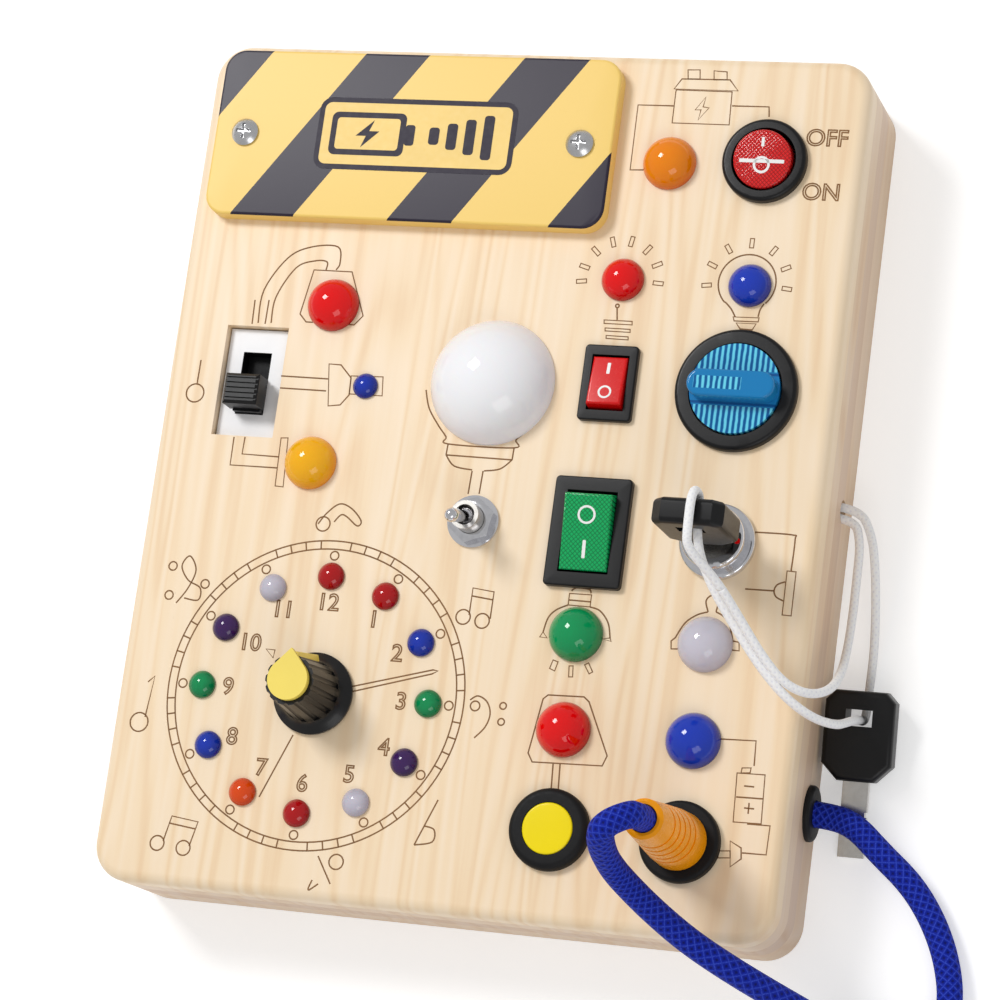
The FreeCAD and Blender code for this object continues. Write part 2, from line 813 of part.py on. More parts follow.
def round_bezel():
    top = face_z + round_bezel_t
    bottom = face_z - round_deep
    ring = cyl(col_b, row_power, round_bezel_d, face_z, top)
    ring = ring.makeFillet(round_bezel_t * 0.45, edges_at(ring, top))
    well = cyl(col_b, row_power, round_open_d + 2 * rocker_wall, bottom, face_z + 0.5)
    inner = cyl(col_b, row_power, round_open_d, bottom + rocker_floor, top + 1)
    return ring.fuse(well).cut(inner)


def round_rocker():
    z = face_z + round_pivot_up
    disc = cyl(col_b, row_power, round_rocker_d, z - round_rocker_t / 2, z + round_rocker_t / 2)
    disc = disc.makeFillet(0.7, edges_at(disc, z + round_rocker_t / 2))
    stem = box(col_b, row_power, round_rocker_d * 0.5, round_rocker_d * 0.25, z - round_rocker_t / 2 - 2.5, z)
    return turn_about_x(disc.fuse(stem), row_power, z, rocker_tilt)


# Rotary switch


def rotary_bezel():
    top = face_z + rotary_bezel_t
    floor = face_z - rotary_well_deep
    ring = cyl(col_b, row_turn, rotary_bezel_d, face_z, top)
    ring = ring.makeFillet(rotary_bezel_t * 0.5, edges_at(ring, top))
    body = cyl(col_b, row_turn, rotary_body_d, face_z - rotary_deep, face_z + 0.5)
    well = cyl(col_b, row_turn, rotary_well_d, floor, top + 1)
    stem = cyl(col_b, row_turn, rotary_stem_d + 2 * rotary_stem_gap, floor - rotary_stem_len, top)
    return ring.fuse(body).cut(well).cut(stem)


def rotary_knob():
    """A translucent disc with a bar grip across it, pointing left."""
    low = face_z - rotary_well_deep + rotary_disc_lift
    high = low + rotary_disc_t
    disc = cyl(col_b, row_turn, rotary_disc_d, low, high)
    grip_r = rotary_grip_w / 2 - 0.01
    grip = rounded_box(col_b, row_turn, rotary_grip_len, rotary_grip_w, grip_r, high - 0.5, high + rotary_grip_h)
    grip = grip.makeFillet(0.9, edges_at(grip, high + rotary_grip_h))
    stem = cyl(col_b, row_turn, rotary_stem_d, low - rotary_stem_len + 1, low + 0.5)
    return disc.fuse(grip).fuse(stem)


# Key lock and keys

core_top = face_z + lock_hub_h - core_sink
blade_low = core_top - blade_in
head_low = core_top + blade_out
head_top = head_low + head_len
bottom_of_lock = face_z - lock_deep


def lock_body():
    top = face_z + lock_hub_h
    flange = cyl(lock_x, lock_y, lock_flange_d, face_z, face_z + lock_flange_t)
    flange = flange.makeFillet(0.8, edges_at(flange, face_z + lock_flange_t))
    hub = cyl(lock_x, lock_y, lock_hub_d, face_z, top)
    hub = hub.makeFillet(0.8, edges_at(hub, top))
    barrel = cyl(lock_x, lock_y, lock_barrel_d, bottom_of_lock, face_z + 0.5)
    bore = cyl(lock_x, lock_y, plug_core_d + 2 * core_gap, bottom_of_lock + core_floor, top + 1)
    return flange.fuse(hub).fuse(barrel).cut(bore)


def ring_nut(cx, cy, nut_d, barrel_d, nut_t):
    """The nut that clamps a round body against the underside of the face panel."""
    nut = cyl(cx, cy, nut_d, panel_under - nut_t, panel_under)
    return nut.cut(cyl(cx, cy, barrel_d + 2 * screw_gap, panel_under - nut_t - 1, panel_under + 1))


def panel_nuts():
    """Nuts of the toggle switch, the lock, the push button and the socket."""
    return Part.makeCompound([
        toggle_nut(),
        ring_nut(lock_x, lock_y, lock_nut_d, lock_barrel_d, lock_nut_t),
        ring_nut(col_a, row_socket, push_nut_d, push_body_d, push_nut_t),
        ring_nut(jack_x, jack_y, push_nut_d, jack_body_d, push_nut_t),
    ])


def lock_core():
    low = bottom_of_lock + core_floor + 0.3
    core = cyl(lock_x, lock_y, plug_core_d, low, core_top)
    slot = box(lock_x, lock_y, blade_w + 2 * blade_gap, blade_t + 2 * blade_gap, blade_low - 1, core_top + 1)
    return core.cut(slot)


def key_blade():
    """A flat blade with two rows of cuts, standing in the lock."""
    blade = box(lock_x, lock_y, blade_w, blade_t, blade_low, head_low + head_len / 2)
    for step in range(4):
        z = blade_low + 3 + 2.6 * step
        depth = 0.5 + 0.35 * ((step * 2) % 3)
        notch = box(lock_x + blade_w / 2, lock_y, 2 * depth, blade_t + 1, z, z + 1.3)
        blade = blade.cut(notch)
    return blade


def key_head():
    """A thick moulded head with clipped corners and an eye for the cord near its end."""
    middle = (head_low + head_top) / 2
    w, t = head_w / 2, head_t / 2
    c = head_chamfer
    outline = [
        (-w + c, head_low), (w - c, head_low), (w, head_low + c), (w, head_top - c * 0.6),
        (w - c * 0.6, head_top), (-w + c * 0.6, head_top), (-w, head_top - c * 0.6), (-w, head_low + c)]
    points = [V(lock_x + x, lock_y - t, z) for x, z in outline]
    head = Part.Face(Part.makePolygon(points + [points[0]])).extrude(V(0, head_t, 0))
    eye_z = head_top - eye_from_end - eye_h / 2
    eye = Part.makeBox(eye_w, head_t + 2, eye_h, V(lock_x - eye_w / 2, lock_y - t - 1, eye_z - eye_h / 2))
    head = head.makeFillet(head_edge_r, [e for e in head.Edges if abs(e.BoundBox.YMax - e.BoundBox.YMin) < 1e-6])
    socket = box(lock_x, lock_y, blade_w, blade_t, head_low - 1, middle)
    return head.cut(eye).cut(socket)


def as_spare(shape):
    """Lay a copy of the lock's key piece beside the board, its tip down and its end on the cord."""
    copy = shape.copy()
    copy.translate(V(-lock_x, -lock_y, -blade_low))
    copy.rotate(V(0, 0, 0), V(1, 0, 0), -90)
    key_len = head_top - blade_low
    tip_y = spare_head_y - key_len
    copy.translate(V(spare_x, tip_y, blade_t / 2))
    rise = spare_lift + (head_t - blade_t) / 2
    tilt = math.degrees(math.asin(rise / (key_len - eye_from_end)))
    copy.rotate(V(0, tip_y, 0), V(1, 0, 0), tilt)
    return copy


# Push button


def push_ring():
    top = face_z + push_ring_t
    ring = cyl(col_a, row_socket, push_ring_d, face_z, top)
    ring = ring.makeFillet(push_ring_t * 0.6, edges_at(ring, top))
    body = cyl(col_a, row_socket, push_body_d, face_z - push_deep, face_z + 0.5)
    cap_low = face_z + push_cap_top - push_cap_len
    floor = cap_low - push_travel - push_stop_gap
    bore = cyl(col_a, row_socket, push_cap_d + 2 * push_cap_gap, floor, top + 1)
    return ring.fuse(body).cut(bore)


def push_cap():
    high = face_z + push_cap_top
    cap = cyl(col_a, row_socket, push_cap_d, high - push_cap_len, high)
    return cap.makeFillet(0.6, edges_at(cap, high))


# Socket and plug

plug_low = face_z + jack_ring_t
plug_top = plug_low + plug_len


def jack_socket():
    ring = cyl(jack_x, jack_y, jack_ring_d, face_z, plug_low)
    ring = ring.makeFillet(jack_ring_t * 0.4, edges_at(ring, plug_low))
    body = cyl(jack_x, jack_y, jack_body_d, face_z - jack_deep, face_z + 0.5)
    bore = cyl(jack_x, jack_y, jack_bore_d, plug_low - jack_bore_deep, plug_low + 1)
    return ring.fuse(body).cut(bore)


def plug_pin():
    return cyl(jack_x, jack_y, plug_pin_d, plug_low - plug_pin_len, plug_low + plug_base_h)


def plug_body():
    """A tapered grip with shallow ribs, bored for the rope at its end."""
    r = plug_base_d / 2
    body = turned(jack_x, jack_y, [
        (0, plug_low), (r - 0.8, plug_low), (r, plug_low + 0.8), (plug_mid_d / 2, plug_low + plug_base_h),
        (plug_end_d / 2, plug_top - 0.8), (plug_end_d / 2 - 0.8, plug_top), (0, plug_top)])
    for step in range(plug_ribs):
        z = plug_low + plug_base_h + 2 + plug_rib_pitch * step
        share = (z - plug_low - plug_base_h) / (plug_len - plug_base_h)
        here = plug_mid_d / 2 + (plug_end_d - plug_mid_d) / 2 * share
        groove = cyl(jack_x, jack_y, plug_mid_d + 4, z, z + plug_rib_w)
        body = body.cut(groove.cut(cyl(jack_x, jack_y, 2 * (here - plug_rib_deep), z - 1, z + 3)))
    body = body.cut(cyl(jack_x, jack_y, rope_d + 2 * rope_gap, plug_top - plug_cord_deep, plug_top + 1))
    return body.cut(cyl(jack_x, jack_y, plug_pin_d, plug_low - 1, plug_low + plug_base_h))


# Grommet, rope and key cord


def grommet():
    along = V(1, 0, 0)
    start = V(half_w - grommet_neck_len, grommet_y, grommet_z)
    neck = Part.makeCylinder(grommet_neck_d / 2, grommet_neck_len + 0.5, start, along)
    rim = Part.makeCylinder(grommet_flange_d / 2, grommet_flange_t, V(half_w, grommet_y, grommet_z), along)
    outer = [e for e in rim.Edges if abs(e.BoundBox.XMin - half_w - grommet_flange_t) < 1e-6
             and abs(e.BoundBox.XMax - half_w - grommet_flange_t) < 1e-6]
    rim = rim.makeFillet(grommet_flange_t * 0.6, outer)
    floor_x = half_w + grommet_flange_t - grommet_deep
    bore = Part.makeCylinder(rope_d / 2 + rope_gap, grommet_deep + 1, V(floor_x, grommet_y, grommet_z), along)
    return neck.fuse(rim).cut(bore)


rope_points = [
    (jack_x, jack_y, plug_top - plug_cord_deep),
    (jack_x, jack_y, plug_top + 2.6),
    (jack_x - 0.8, jack_y - 0.5, plug_top + 10.2),
    (jack_x - 7.4, jack_y - 4.6, plug_top + 11.6),
    (jack_x - 8.8, jack_y - 8.6, plug_top + 3.0),
    (jack_x - 8.2, jack_y - 12.0, plug_top - 5.8),
    (jack_x - 4.8, jack_y - 15.8, plug_top - 12.2),
    (jack_x + 1.0, jack_y - 20.8, plug_top - 18.0),
    (jack_x + 9.2, jack_y - 26.6, plug_top - 23.5),
    (jack_x + 18.7, jack_y - 31.6, plug_top - 28.0),
    (jack_x + 27.7, jack_y - 35.8, plug_top - 36.0),
    (jack_x + 36.2, jack_y - 39.5, plug_top - 47.0),
    (jack_x + 44.1, jack_y - 43.1, plug_top - 57.5),
    (jack_x + 52.6, jack_y - 46.5, plug_top - 65.4),
    (jack_x + 61.0, jack_y - 46.7, plug_top - 69.4),
    (jack_x + 67.1, jack_y - 40.9, plug_top - 70.0),
    (jack_x + 68.6, jack_y - 30.6, plug_top - 70.0),
    (jack_x + 66.4, jack_y - 20.2, plug_top - 70.0),
    (jack_x + 61.9, jack_y - 10.3, plug_top - 69.6),
    (jack_x + 55.4, jack_y - 1.4, plug_top - 68.0),
    (jack_x + 46.5, jack_y + 5.8, plug_top - 65.8),
    (jack_x + 39.2, jack_y + 12.4, plug_top - 64.2),
    (half_w + 4.5, grommet_y, grommet_z),
    (half_w + grommet_flange_t - grommet_deep, grommet_y, grommet_z),
]

eye_level = head_top - eye_from_end - eye_h / 2
over_end = head_top + cord_d / 2 + 0.9
above_key = lock_y + head_t / 2 + cord_d / 2 + 1.0
cord_top_y = cord_hole_y + cord_pair
cord_low_y = cord_hole_y - cord_pair
cord_start = half_w - cord_hole_deep
cord_x = lock_x + 1.6
key_cord_points = [
    (cord_start, cord_low_y, cord_hole_z),
    (half_w + 3.4, cord_low_y, cord_hole_z),
    (half_w + 5.8, -7.5, 11.2),
    (half_w + 5.6, -16.5, 9.8),
    (half_w + 5.6, -26.0, 9.4),
    (half_w + 6.0, -36.0, 12.5),
    (half_w + 7.0, -45.0, 21.0),
    (half_w + 6.8, -51.5, 31.0),
    (half_w + 3.4, -54.6, 39.5),
    (half_w - 2.4, -53.0, 44.2),
    (half_w - 8.2, -46.6, 48.8),
    (half_w - 13.4, -38.8, 54.4),
    (half_w - 18.6, -31.0, 61.8),
    (cord_x, -25.0, 70.6),
    (cord_x, -20.6, over_end),
    (cord_x, above_key, over_end),
    (cord_x, above_key, eye_level),
    (cord_x, -21.6, eye_level),
    (half_w - 21.2, -31.5, 57.6),
    (half_w - 14.8, -41.2, 51.0),
    (half_w - 8.2, -50.0, 46.2),
    (half_w - 1.6, -56.6, 42.2),
    (half_w + 4.4, -60.0, 36.4),
    (half_w + 8.6, -59.8, 27.4),
    (half_w + 9.8, -57.4, 19.6),
    (spare_x, -55.0, 11.8),
    (spare_x, -54.1, 1.7),
    (spare_x, -45.4, 1.5),
    (spare_x + 0.6, -36.0, 3.4),
    (spare_x + 0.4, -25.5, 6.0),
    (half_w + 10.2, -14.5, 8.6),
    (half_w + 8.6, -5.0, 10.4),
    (half_w + 4.2, cord_top_y, cord_hole_z),
    (cord_start, cord_top_y, cord_hole_z),
]


def arc_at(before, here, after):
    """Where the arc at a route point starts, passes and ends, and its radius."""
    a, b = before - here, after - here
    turn = math.pi - a.getAngle(b)
    cut = 0.45 * min(a.Length, b.Length)
    radius = cut / math.tan(turn / 2)
    toward = V(a).normalize() + V(b).normalize()
    toward.normalize()
    centre = here + toward * math.hypot(radius, cut)
    middle = centre - toward * radius
    return here + V(a).normalize() * cut, middle, here + V(b).normalize() * cut, radius, math.degrees(turn)


def cord_tube(name, points, diameter):
    """A round cord along straight runs joined by tangent arcs."""
    route = [V(*p) for p in points]
    edges = []
    radii = []
    at = route[0]
    for before, here, after in zip(route, route[1:], route[2:]):
        first, middle, last, radius, turn = arc_at(before, here, after)
        edges.append(Part.LineSegment(at, first).toShape())
        edges.append(Part.Arc(first, middle, last).toShape())
        radii.append((round(radius, 1), round(turn)))
        at = last
    edges.append(Part.LineSegment(at, route[-1]).toShape())
    path = Part.Wire(edges)
    ring = Part.Wire(Part.makeCircle(diameter / 2, route[0], route[1] - route[0]))
    tube = path.makePipeShell([ring], True, False)
    section = math.pi * diameter ** 2 / 4
    runs = [round((b - a).Length, 1) for a, b in zip(route, route[1:])]
    print(name, "length", round(path.Length, 1), "volume share", round(tube.Volume / (section * path.Length), 4))
    print(name, "runs", runs)
    print(name, "radii and turns", radii)
    return tube


pieces = {
    "face_panel": face_panel,
    "frame_upper": frame_upper,
    "frame_middle": frame_middle,
    "frame_back": frame_back,
    "back_cover": back_cover,
    "screws": screws,
    "battery_door": battery_door,
    "battery_holder": battery_holder,
    "battery_cells": battery_cells,
    "clock_board": clock_board,
    "hazard_plate": hazard_plate,
    "knob_pot": knob_pot,
    "knob_shaft": knob_shaft,
    "clock_knob": clock_knob,
    "knob_cap": knob_cap,
    "slide_plate": slide_plate,
    "slide_knob": slide_knob,
    "toggle_body": toggle_body,
    "toggle_washer": toggle_washer,
    "toggle_lever": toggle_lever,
    "little_bezel": little_bezel,
    "little_rocker": little_rocker,
    "big_bezel": big_bezel,
    "big_rocker": big_rocker,
    "round_bezel": round_bezel,
    "round_rocker": round_rocker,
    "rotary_bezel": rotary_bezel,
    "rotary_knob": rotary_knob,
    "lock_body": lock_body,
    "panel_nuts": panel_nuts,
    "lock_core": lock_core,
    "key_blade": key_blade,
    "key_head": key_head,
    "push_ring": push_ring,
    "push_cap": push_cap,
    "jack_socket": jack_socket,
    "plug_pin": plug_pin,
    "plug_body": plug_body,
    "grommet": grommet,
    "spare_blade": lambda: as_spare(key_blade()),
    "spare_head": lambda: as_spare(key_head()),
    "rope": lambda: cord_tube("rope", rope_points, rope_d),
    "key_cord": lambda: cord_tube("key_cord", key_cord_points, cord_d),
}
for lamp_name, (lamp_x, lamp_y, lamp_size) in lamp_places.items():
    pieces[lamp_name] = lambda x=lamp_x, y=lamp_y, s=lamp_size: lamp(x, y, *lamp_sizes[s])
for group_name, group_hours in clock_hours.items():
    pieces[group_name] = lambda hours=group_hours: clock_lamps(hours)

os.makedirs("parts", exist_ok=True)
for node, make in pieces.items():
    shape = make()
    if not shape.isValid():
        print("invalid", node)
    shape.exportStep("parts/" + node + ".step")
print(len(pieces), "pieces")
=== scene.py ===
import math
import bmesh
import bpy
from mathutils import Matrix, Vector


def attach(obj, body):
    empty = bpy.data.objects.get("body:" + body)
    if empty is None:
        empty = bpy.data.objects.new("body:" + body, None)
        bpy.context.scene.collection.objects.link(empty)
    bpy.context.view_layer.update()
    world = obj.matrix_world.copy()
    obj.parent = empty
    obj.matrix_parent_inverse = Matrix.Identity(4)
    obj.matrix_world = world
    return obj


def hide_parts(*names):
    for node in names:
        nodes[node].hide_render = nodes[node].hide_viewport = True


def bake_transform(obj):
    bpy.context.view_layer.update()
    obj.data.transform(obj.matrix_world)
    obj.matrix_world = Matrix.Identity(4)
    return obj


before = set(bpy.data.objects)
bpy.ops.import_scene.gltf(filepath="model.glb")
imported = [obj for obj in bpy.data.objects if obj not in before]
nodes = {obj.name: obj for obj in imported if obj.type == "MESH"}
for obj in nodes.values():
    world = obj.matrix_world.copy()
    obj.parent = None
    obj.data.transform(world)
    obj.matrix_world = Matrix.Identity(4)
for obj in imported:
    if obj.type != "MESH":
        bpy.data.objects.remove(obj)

# Wooden busy board on its back, face up. Metres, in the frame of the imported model.
scene = bpy.context.scene
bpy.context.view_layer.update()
mm = 0.001
wholeTurn = 2 * math.pi
faceZ = 35 * mm


def colour(red, green, blue):
    # screen values 0 to 255 as linear colour
    def linear(part):
        part = part / 255
        return part / 12.92 if part <= 0.04045 else ((part + 0.055) / 1.055) ** 2.4
    return (linear(red), linear(green), linear(blue), 1.0)


# camera, at the photo's angle for a 1000 x 1000 frame
cameraSet = {
    "focalPixels": 3663.83,
    "imagePixels": 1000,
    "sensor": 36.0,
    "place": (0.312585, -0.215124, 0.945607),
    "right": (0.9483, 0.1336, -0.2880),
    "up": (-0.0630, 0.9683, 0.2417),
    "back": (0.3111, -0.2111, 0.9266),
}


def addCamera(given):
    data = bpy.data.cameras.new("photoCamera")
    data.sensor_width = given["sensor"]
    data.lens = given["sensor"] * given["focalPixels"] / given["imagePixels"]
    data.clip_start = 0.01
    cam = bpy.data.objects.new("photoCamera", data)
    scene.collection.objects.link(cam)
    turn = Matrix((given["right"], given["up"], given["back"])).transposed()
    cam.matrix_world = Matrix.Translation(given["place"]) @ turn.to_quaternion().to_matrix().to_4x4()
    scene.camera = cam


def facePoint(pixel, z=faceZ):
    # where a pixel of the photo falls on the level plane at height z
    half = cameraSet["imagePixels"] / 2
    focal = cameraSet["focalPixels"]
    ray = (Vector(cameraSet["right"]) * (pixel[0] - half) / focal
           - Vector(cameraSet["up"]) * (pixel[1] - half) / focal - Vector(cameraSet["back"]))
    start = Vector(cameraSet["place"])
    return start + ray * ((z - start.z) / ray.z)


addCamera(cameraSet)
print("camera set")


# material helpers
def newMaterial(name, rough=0.5):
    mat = bpy.data.materials.new(name)
    mat.use_nodes = True
    shader = mat.node_tree.nodes["Principled BSDF"]
    shader.inputs["Roughness"].default_value = rough
    return mat, mat.node_tree, shader


def addNode(tree, kind, **settings):
    made = tree.nodes.new(kind)
    for key, value in settings.items():
        setattr(made, key, value)
    return made


def objectCoords(tree, scale=(1, 1, 1), turn=(0, 0, 0), shift=(0, 0, 0)):
    source = addNode(tree, "ShaderNodeTexCoord")
    mapping = addNode(tree, "ShaderNodeMapping")
    mapping.inputs["Scale"].default_value = scale
    mapping.inputs["Rotation"].default_value = turn
    mapping.inputs["Location"].default_value = shift
    tree.links.new(source.outputs["Object"], mapping.inputs["Vector"])
    return mapping.outputs["Vector"]


def noise(tree, vector, scale, detail=3.0, rough=0.55, distortion=0.0):
    made = addNode(tree, "ShaderNodeTexNoise")
    made.inputs["Scale"].default_value = scale
    made.inputs["Detail"].default_value = detail
    made.inputs["Roughness"].default_value = rough
    made.inputs["Distortion"].default_value = distortion
    tree.links.new(vector, made.inputs["Vector"])
    return made.outputs["Fac"]


def calc(tree, operation, first, second=0.0, third=0.0):
    made = addNode(tree, "ShaderNodeMath", operation=operation)
    for socket, value in zip(made.inputs, (first, second, third)):
        if isinstance(value, (int, float)):
            socket.default_value = value
        else:
            tree.links.new(value, socket)
    return made.outputs[0]


def axes(tree, vector):
    made = addNode(tree, "ShaderNodeSeparateXYZ")
    tree.links.new(vector, made.inputs[0])
    return made.outputs


def ramp(tree, factor, stops):
    made = addNode(tree, "ShaderNodeValToRGB")
    points = made.color_ramp.elements
    while len(points) < len(stops):
        points.new(0.5)
    for point, (place, tone) in zip(points, stops):
        point.position = place
        point.color = tone
    tree.links.new(factor, made.inputs["Fac"])
    return made.outputs["Color"]


def mixColours(tree, factor, first, second, blend="MIX"):
    made = addNode(tree, "ShaderNodeMix", data_type="RGBA", blend_type=blend)
    for socket, value in zip((made.inputs[0], made.inputs[6], made.inputs[7]), (factor, first, second)):
        if isinstance(value, (int, float, tuple)):
            socket.default_value = value
        else:
            tree.links.new(value, socket)
    return made.outputs[2]


def addBump(tree, shader, height, strength, distance):
    made = addNode(tree, "ShaderNodeBump")
    made.inputs["Strength"].default_value = strength
    made.inputs["Distance"].default_value = distance
    tree.links.new(height, made.inputs["Height"])
    tree.links.new(made.outputs["Normal"], shader.inputs["Normal"])


def colourFrom(tree, shader, output):
    tree.links.new(output, shader.inputs["Base Color"])


def roughFrom(tree, shader, factor, low, high):
    made = addNode(tree, "ShaderNodeMapRange")
    made.inputs["To Min"].default_value = low
    made.inputs["To Max"].default_value = high
    tree.links.new(factor, made.inputs["Value"])
    tree.links.new(made.outputs["Result"], shader.inputs["Roughness"])


# pine, with its grain along the board
pineSet = {
    "light": colour(253, 231, 201),
    "middle": colour(250, 224, 187),
    "dark": colour(238, 202, 158),
    "grainAcross": 420.0,
    "grainAlong": 9.0,
    "figureAcross": 46.0,
    "figureAlong": 2.6,
    "figureUp": 5.0,
    "ringCount": 62.0,
    "grainShare": 0.55,
    "ringShare": 0.42,
    "stops": (0.18, 0.55, 0.95),
    "streakX": 34.0 * mm,
    "streakHalf": 3.2 * mm,
    "streakLean": -0.075,
    "streakShare": 0.5,
    "rough": (0.42, 0.58),
    "bump": (0.12, 0.0002),
}


def pineMaterial(name, given, tint=1.0, pinker=0.0, shift=0.0):
    mat, tree, shader = newMaterial(name)
    grainScale = (given["grainAcross"], given["grainAlong"], given["grainAcross"])
    figureScale = (given["figureAcross"], given["figureAlong"], given["figureUp"])
    fine = noise(tree, objectCoords(tree, grainScale), 1.0, 4.0)
    figure = noise(tree, objectCoords(tree, figureScale, shift=(shift, shift, 0)), 1.0, 2.0, 0.5, 0.6)
    rings = calc(tree, "SINE", calc(tree, "MULTIPLY", figure, given["ringCount"]))
    rings = calc(tree, "MULTIPLY_ADD", rings, 0.5, 0.5)
    blended = calc(tree, "ADD", calc(tree, "MULTIPLY", fine, given["grainShare"]),
                   calc(tree, "MULTIPLY", rings, given["ringShare"]))
    tones = [tuple(part * tint for part in given[key][:3]) + (1.0,)
             for key in ("light", "middle", "dark")]
    if pinker:
        tones = [(tone[0], tone[1] * (1 - pinker), tone[2] * (1 - pinker), 1.0) for tone in tones]
    base = ramp(tree, blended, list(zip(given["stops"], tones)))
    place = axes(tree, objectCoords(tree))
    lean = calc(tree, "MULTIPLY", place[1], given["streakLean"])
    aside = calc(tree, "SUBTRACT", calc(tree, "SUBTRACT", place[0], lean), given["streakX"])
    away = calc(tree, "DIVIDE", calc(tree, "ABSOLUTE", aside), given["streakHalf"])
    streak = calc(tree, "SUBTRACT", 1.0, calc(tree, "MINIMUM", away, 1.0))
    streak = calc(tree, "MULTIPLY", streak, calc(tree, "MULTIPLY", fine, given["streakShare"]))
    colourFrom(tree, shader, mixColours(tree, streak, base, tones[2]))
    roughFrom(tree, shader, fine, *given["rough"])
    addBump(tree, shader, fine, *given["bump"])
    shader.inputs["Coat Weight"].default_value = 0.12
    shader.inputs["Coat Roughness"].default_value = 0.3
    return mat


# plastics, metals and cords
def plasticMaterial(name, tone, rough=0.35, grain=900.0, bump=0.06, vary=0.08, coat=0.0, gloss=0.5):
    mat, tree, shader = newMaterial(name, rough)
    fine = noise(tree, objectCoords(tree), grain, 2.0)
    broad = noise(tree, objectCoords(tree), 60.0, 2.0)
    darker = tuple(part * (1 - vary) for part in tone[:3]) + (1.0,)
    colourFrom(tree, shader, ramp(tree, broad, [(0.3, tone), (0.75, darker)]))
    roughFrom(tree, shader, fine, rough * 0.85, rough * 1.2)
    addBump(tree, shader, fine, bump, 0.00008)
    shader.inputs["Coat Weight"].default_value = coat
    shader.inputs["Specular IOR Level"].default_value = gloss
    shader.inputs["Coat Roughness"].default_value = 0.08
    return mat


def clearMaterial(name, tone, deep, rise, rough=0.05):
    # tinted lens with painted shade: darker at the foot, rising to the lens's own colour towards the
    # crown, with faint moulding swirls
    mat, tree, shader = newMaterial(name, rough)
    place = axes(tree, objectCoords(tree))
    height = calc(tree, "DIVIDE", calc(tree, "SUBTRACT", place[2], faceZ), rise)
    swirl = noise(tree, objectCoords(tree), 240.0, 2.0, 0.5, 1.2)
    level = calc(tree, "MULTIPLY_ADD", swirl, 0.30, height)
    colourFrom(tree, shader, ramp(tree, level, [(0.05, deep), (0.75, tone), (1.0, tone)]))
    shader.inputs["Subsurface Weight"].default_value = 0.06
    shader.inputs["Subsurface Scale"].default_value = 0.002
    shader.inputs["Specular IOR Level"].default_value = 0.1
    shader.inputs["Coat Weight"].default_value = 0.7
    shader.inputs["Coat Roughness"].default_value = 0.02
    shader.inputs["IOR"].default_value = 1.49
    addBump(tree, shader, swirl, 0.03, 0.0003)
    return mat


def metalMaterial(name, tone, rough=0.12, brush=(700, 700, 60)):
    mat, tree, shader = newMaterial(name, rough)
    lines = noise(tree, objectCoords(tree, brush), 1.0, 3.0)
    darker = tuple(part * 0.86 for part in tone[:3]) + (1.0,)
    colourFrom(tree, shader, ramp(tree, lines, [(0.3, tone), (0.8, darker)]))
    roughFrom(tree, shader, lines, rough * 0.8, rough * 1.5)
    addBump(tree, shader, lines, 0.04, 0.00005)
    shader.inputs["Metallic"].default_value = 1.0
    return mat


# each lens pair holds the lens's own colour, then the darker colour of the painted shade at its foot
tones = {
    "black": colour(15, 15, 17),
    "redLamp": (colour(236, 4, 8), colour(150, 0, 2)),
    "darkRedLamp": (colour(176, 8, 14), colour(104, 0, 4)),
    "orangeLamp": (colour(244, 136, 2), colour(204, 80, 0)),
    "clockOrange": (colour(224, 74, 6), colour(150, 38, 0)),
    "amberLamp": (colour(252, 182, 16), colour(224, 126, 0)),
    "blueLamp": (colour(24, 58, 186), colour(6, 12, 100)),
    "greenLamp": (colour(8, 152, 88), colour(0, 88, 48)),
    "violetLamp": (colour(62, 30, 90), colour(34, 12, 50)),
    "greyLamp": (colour(208, 204, 216), colour(164, 158, 176)),
    "milk": (colour(252, 252, 255), colour(234, 233, 246)),
}

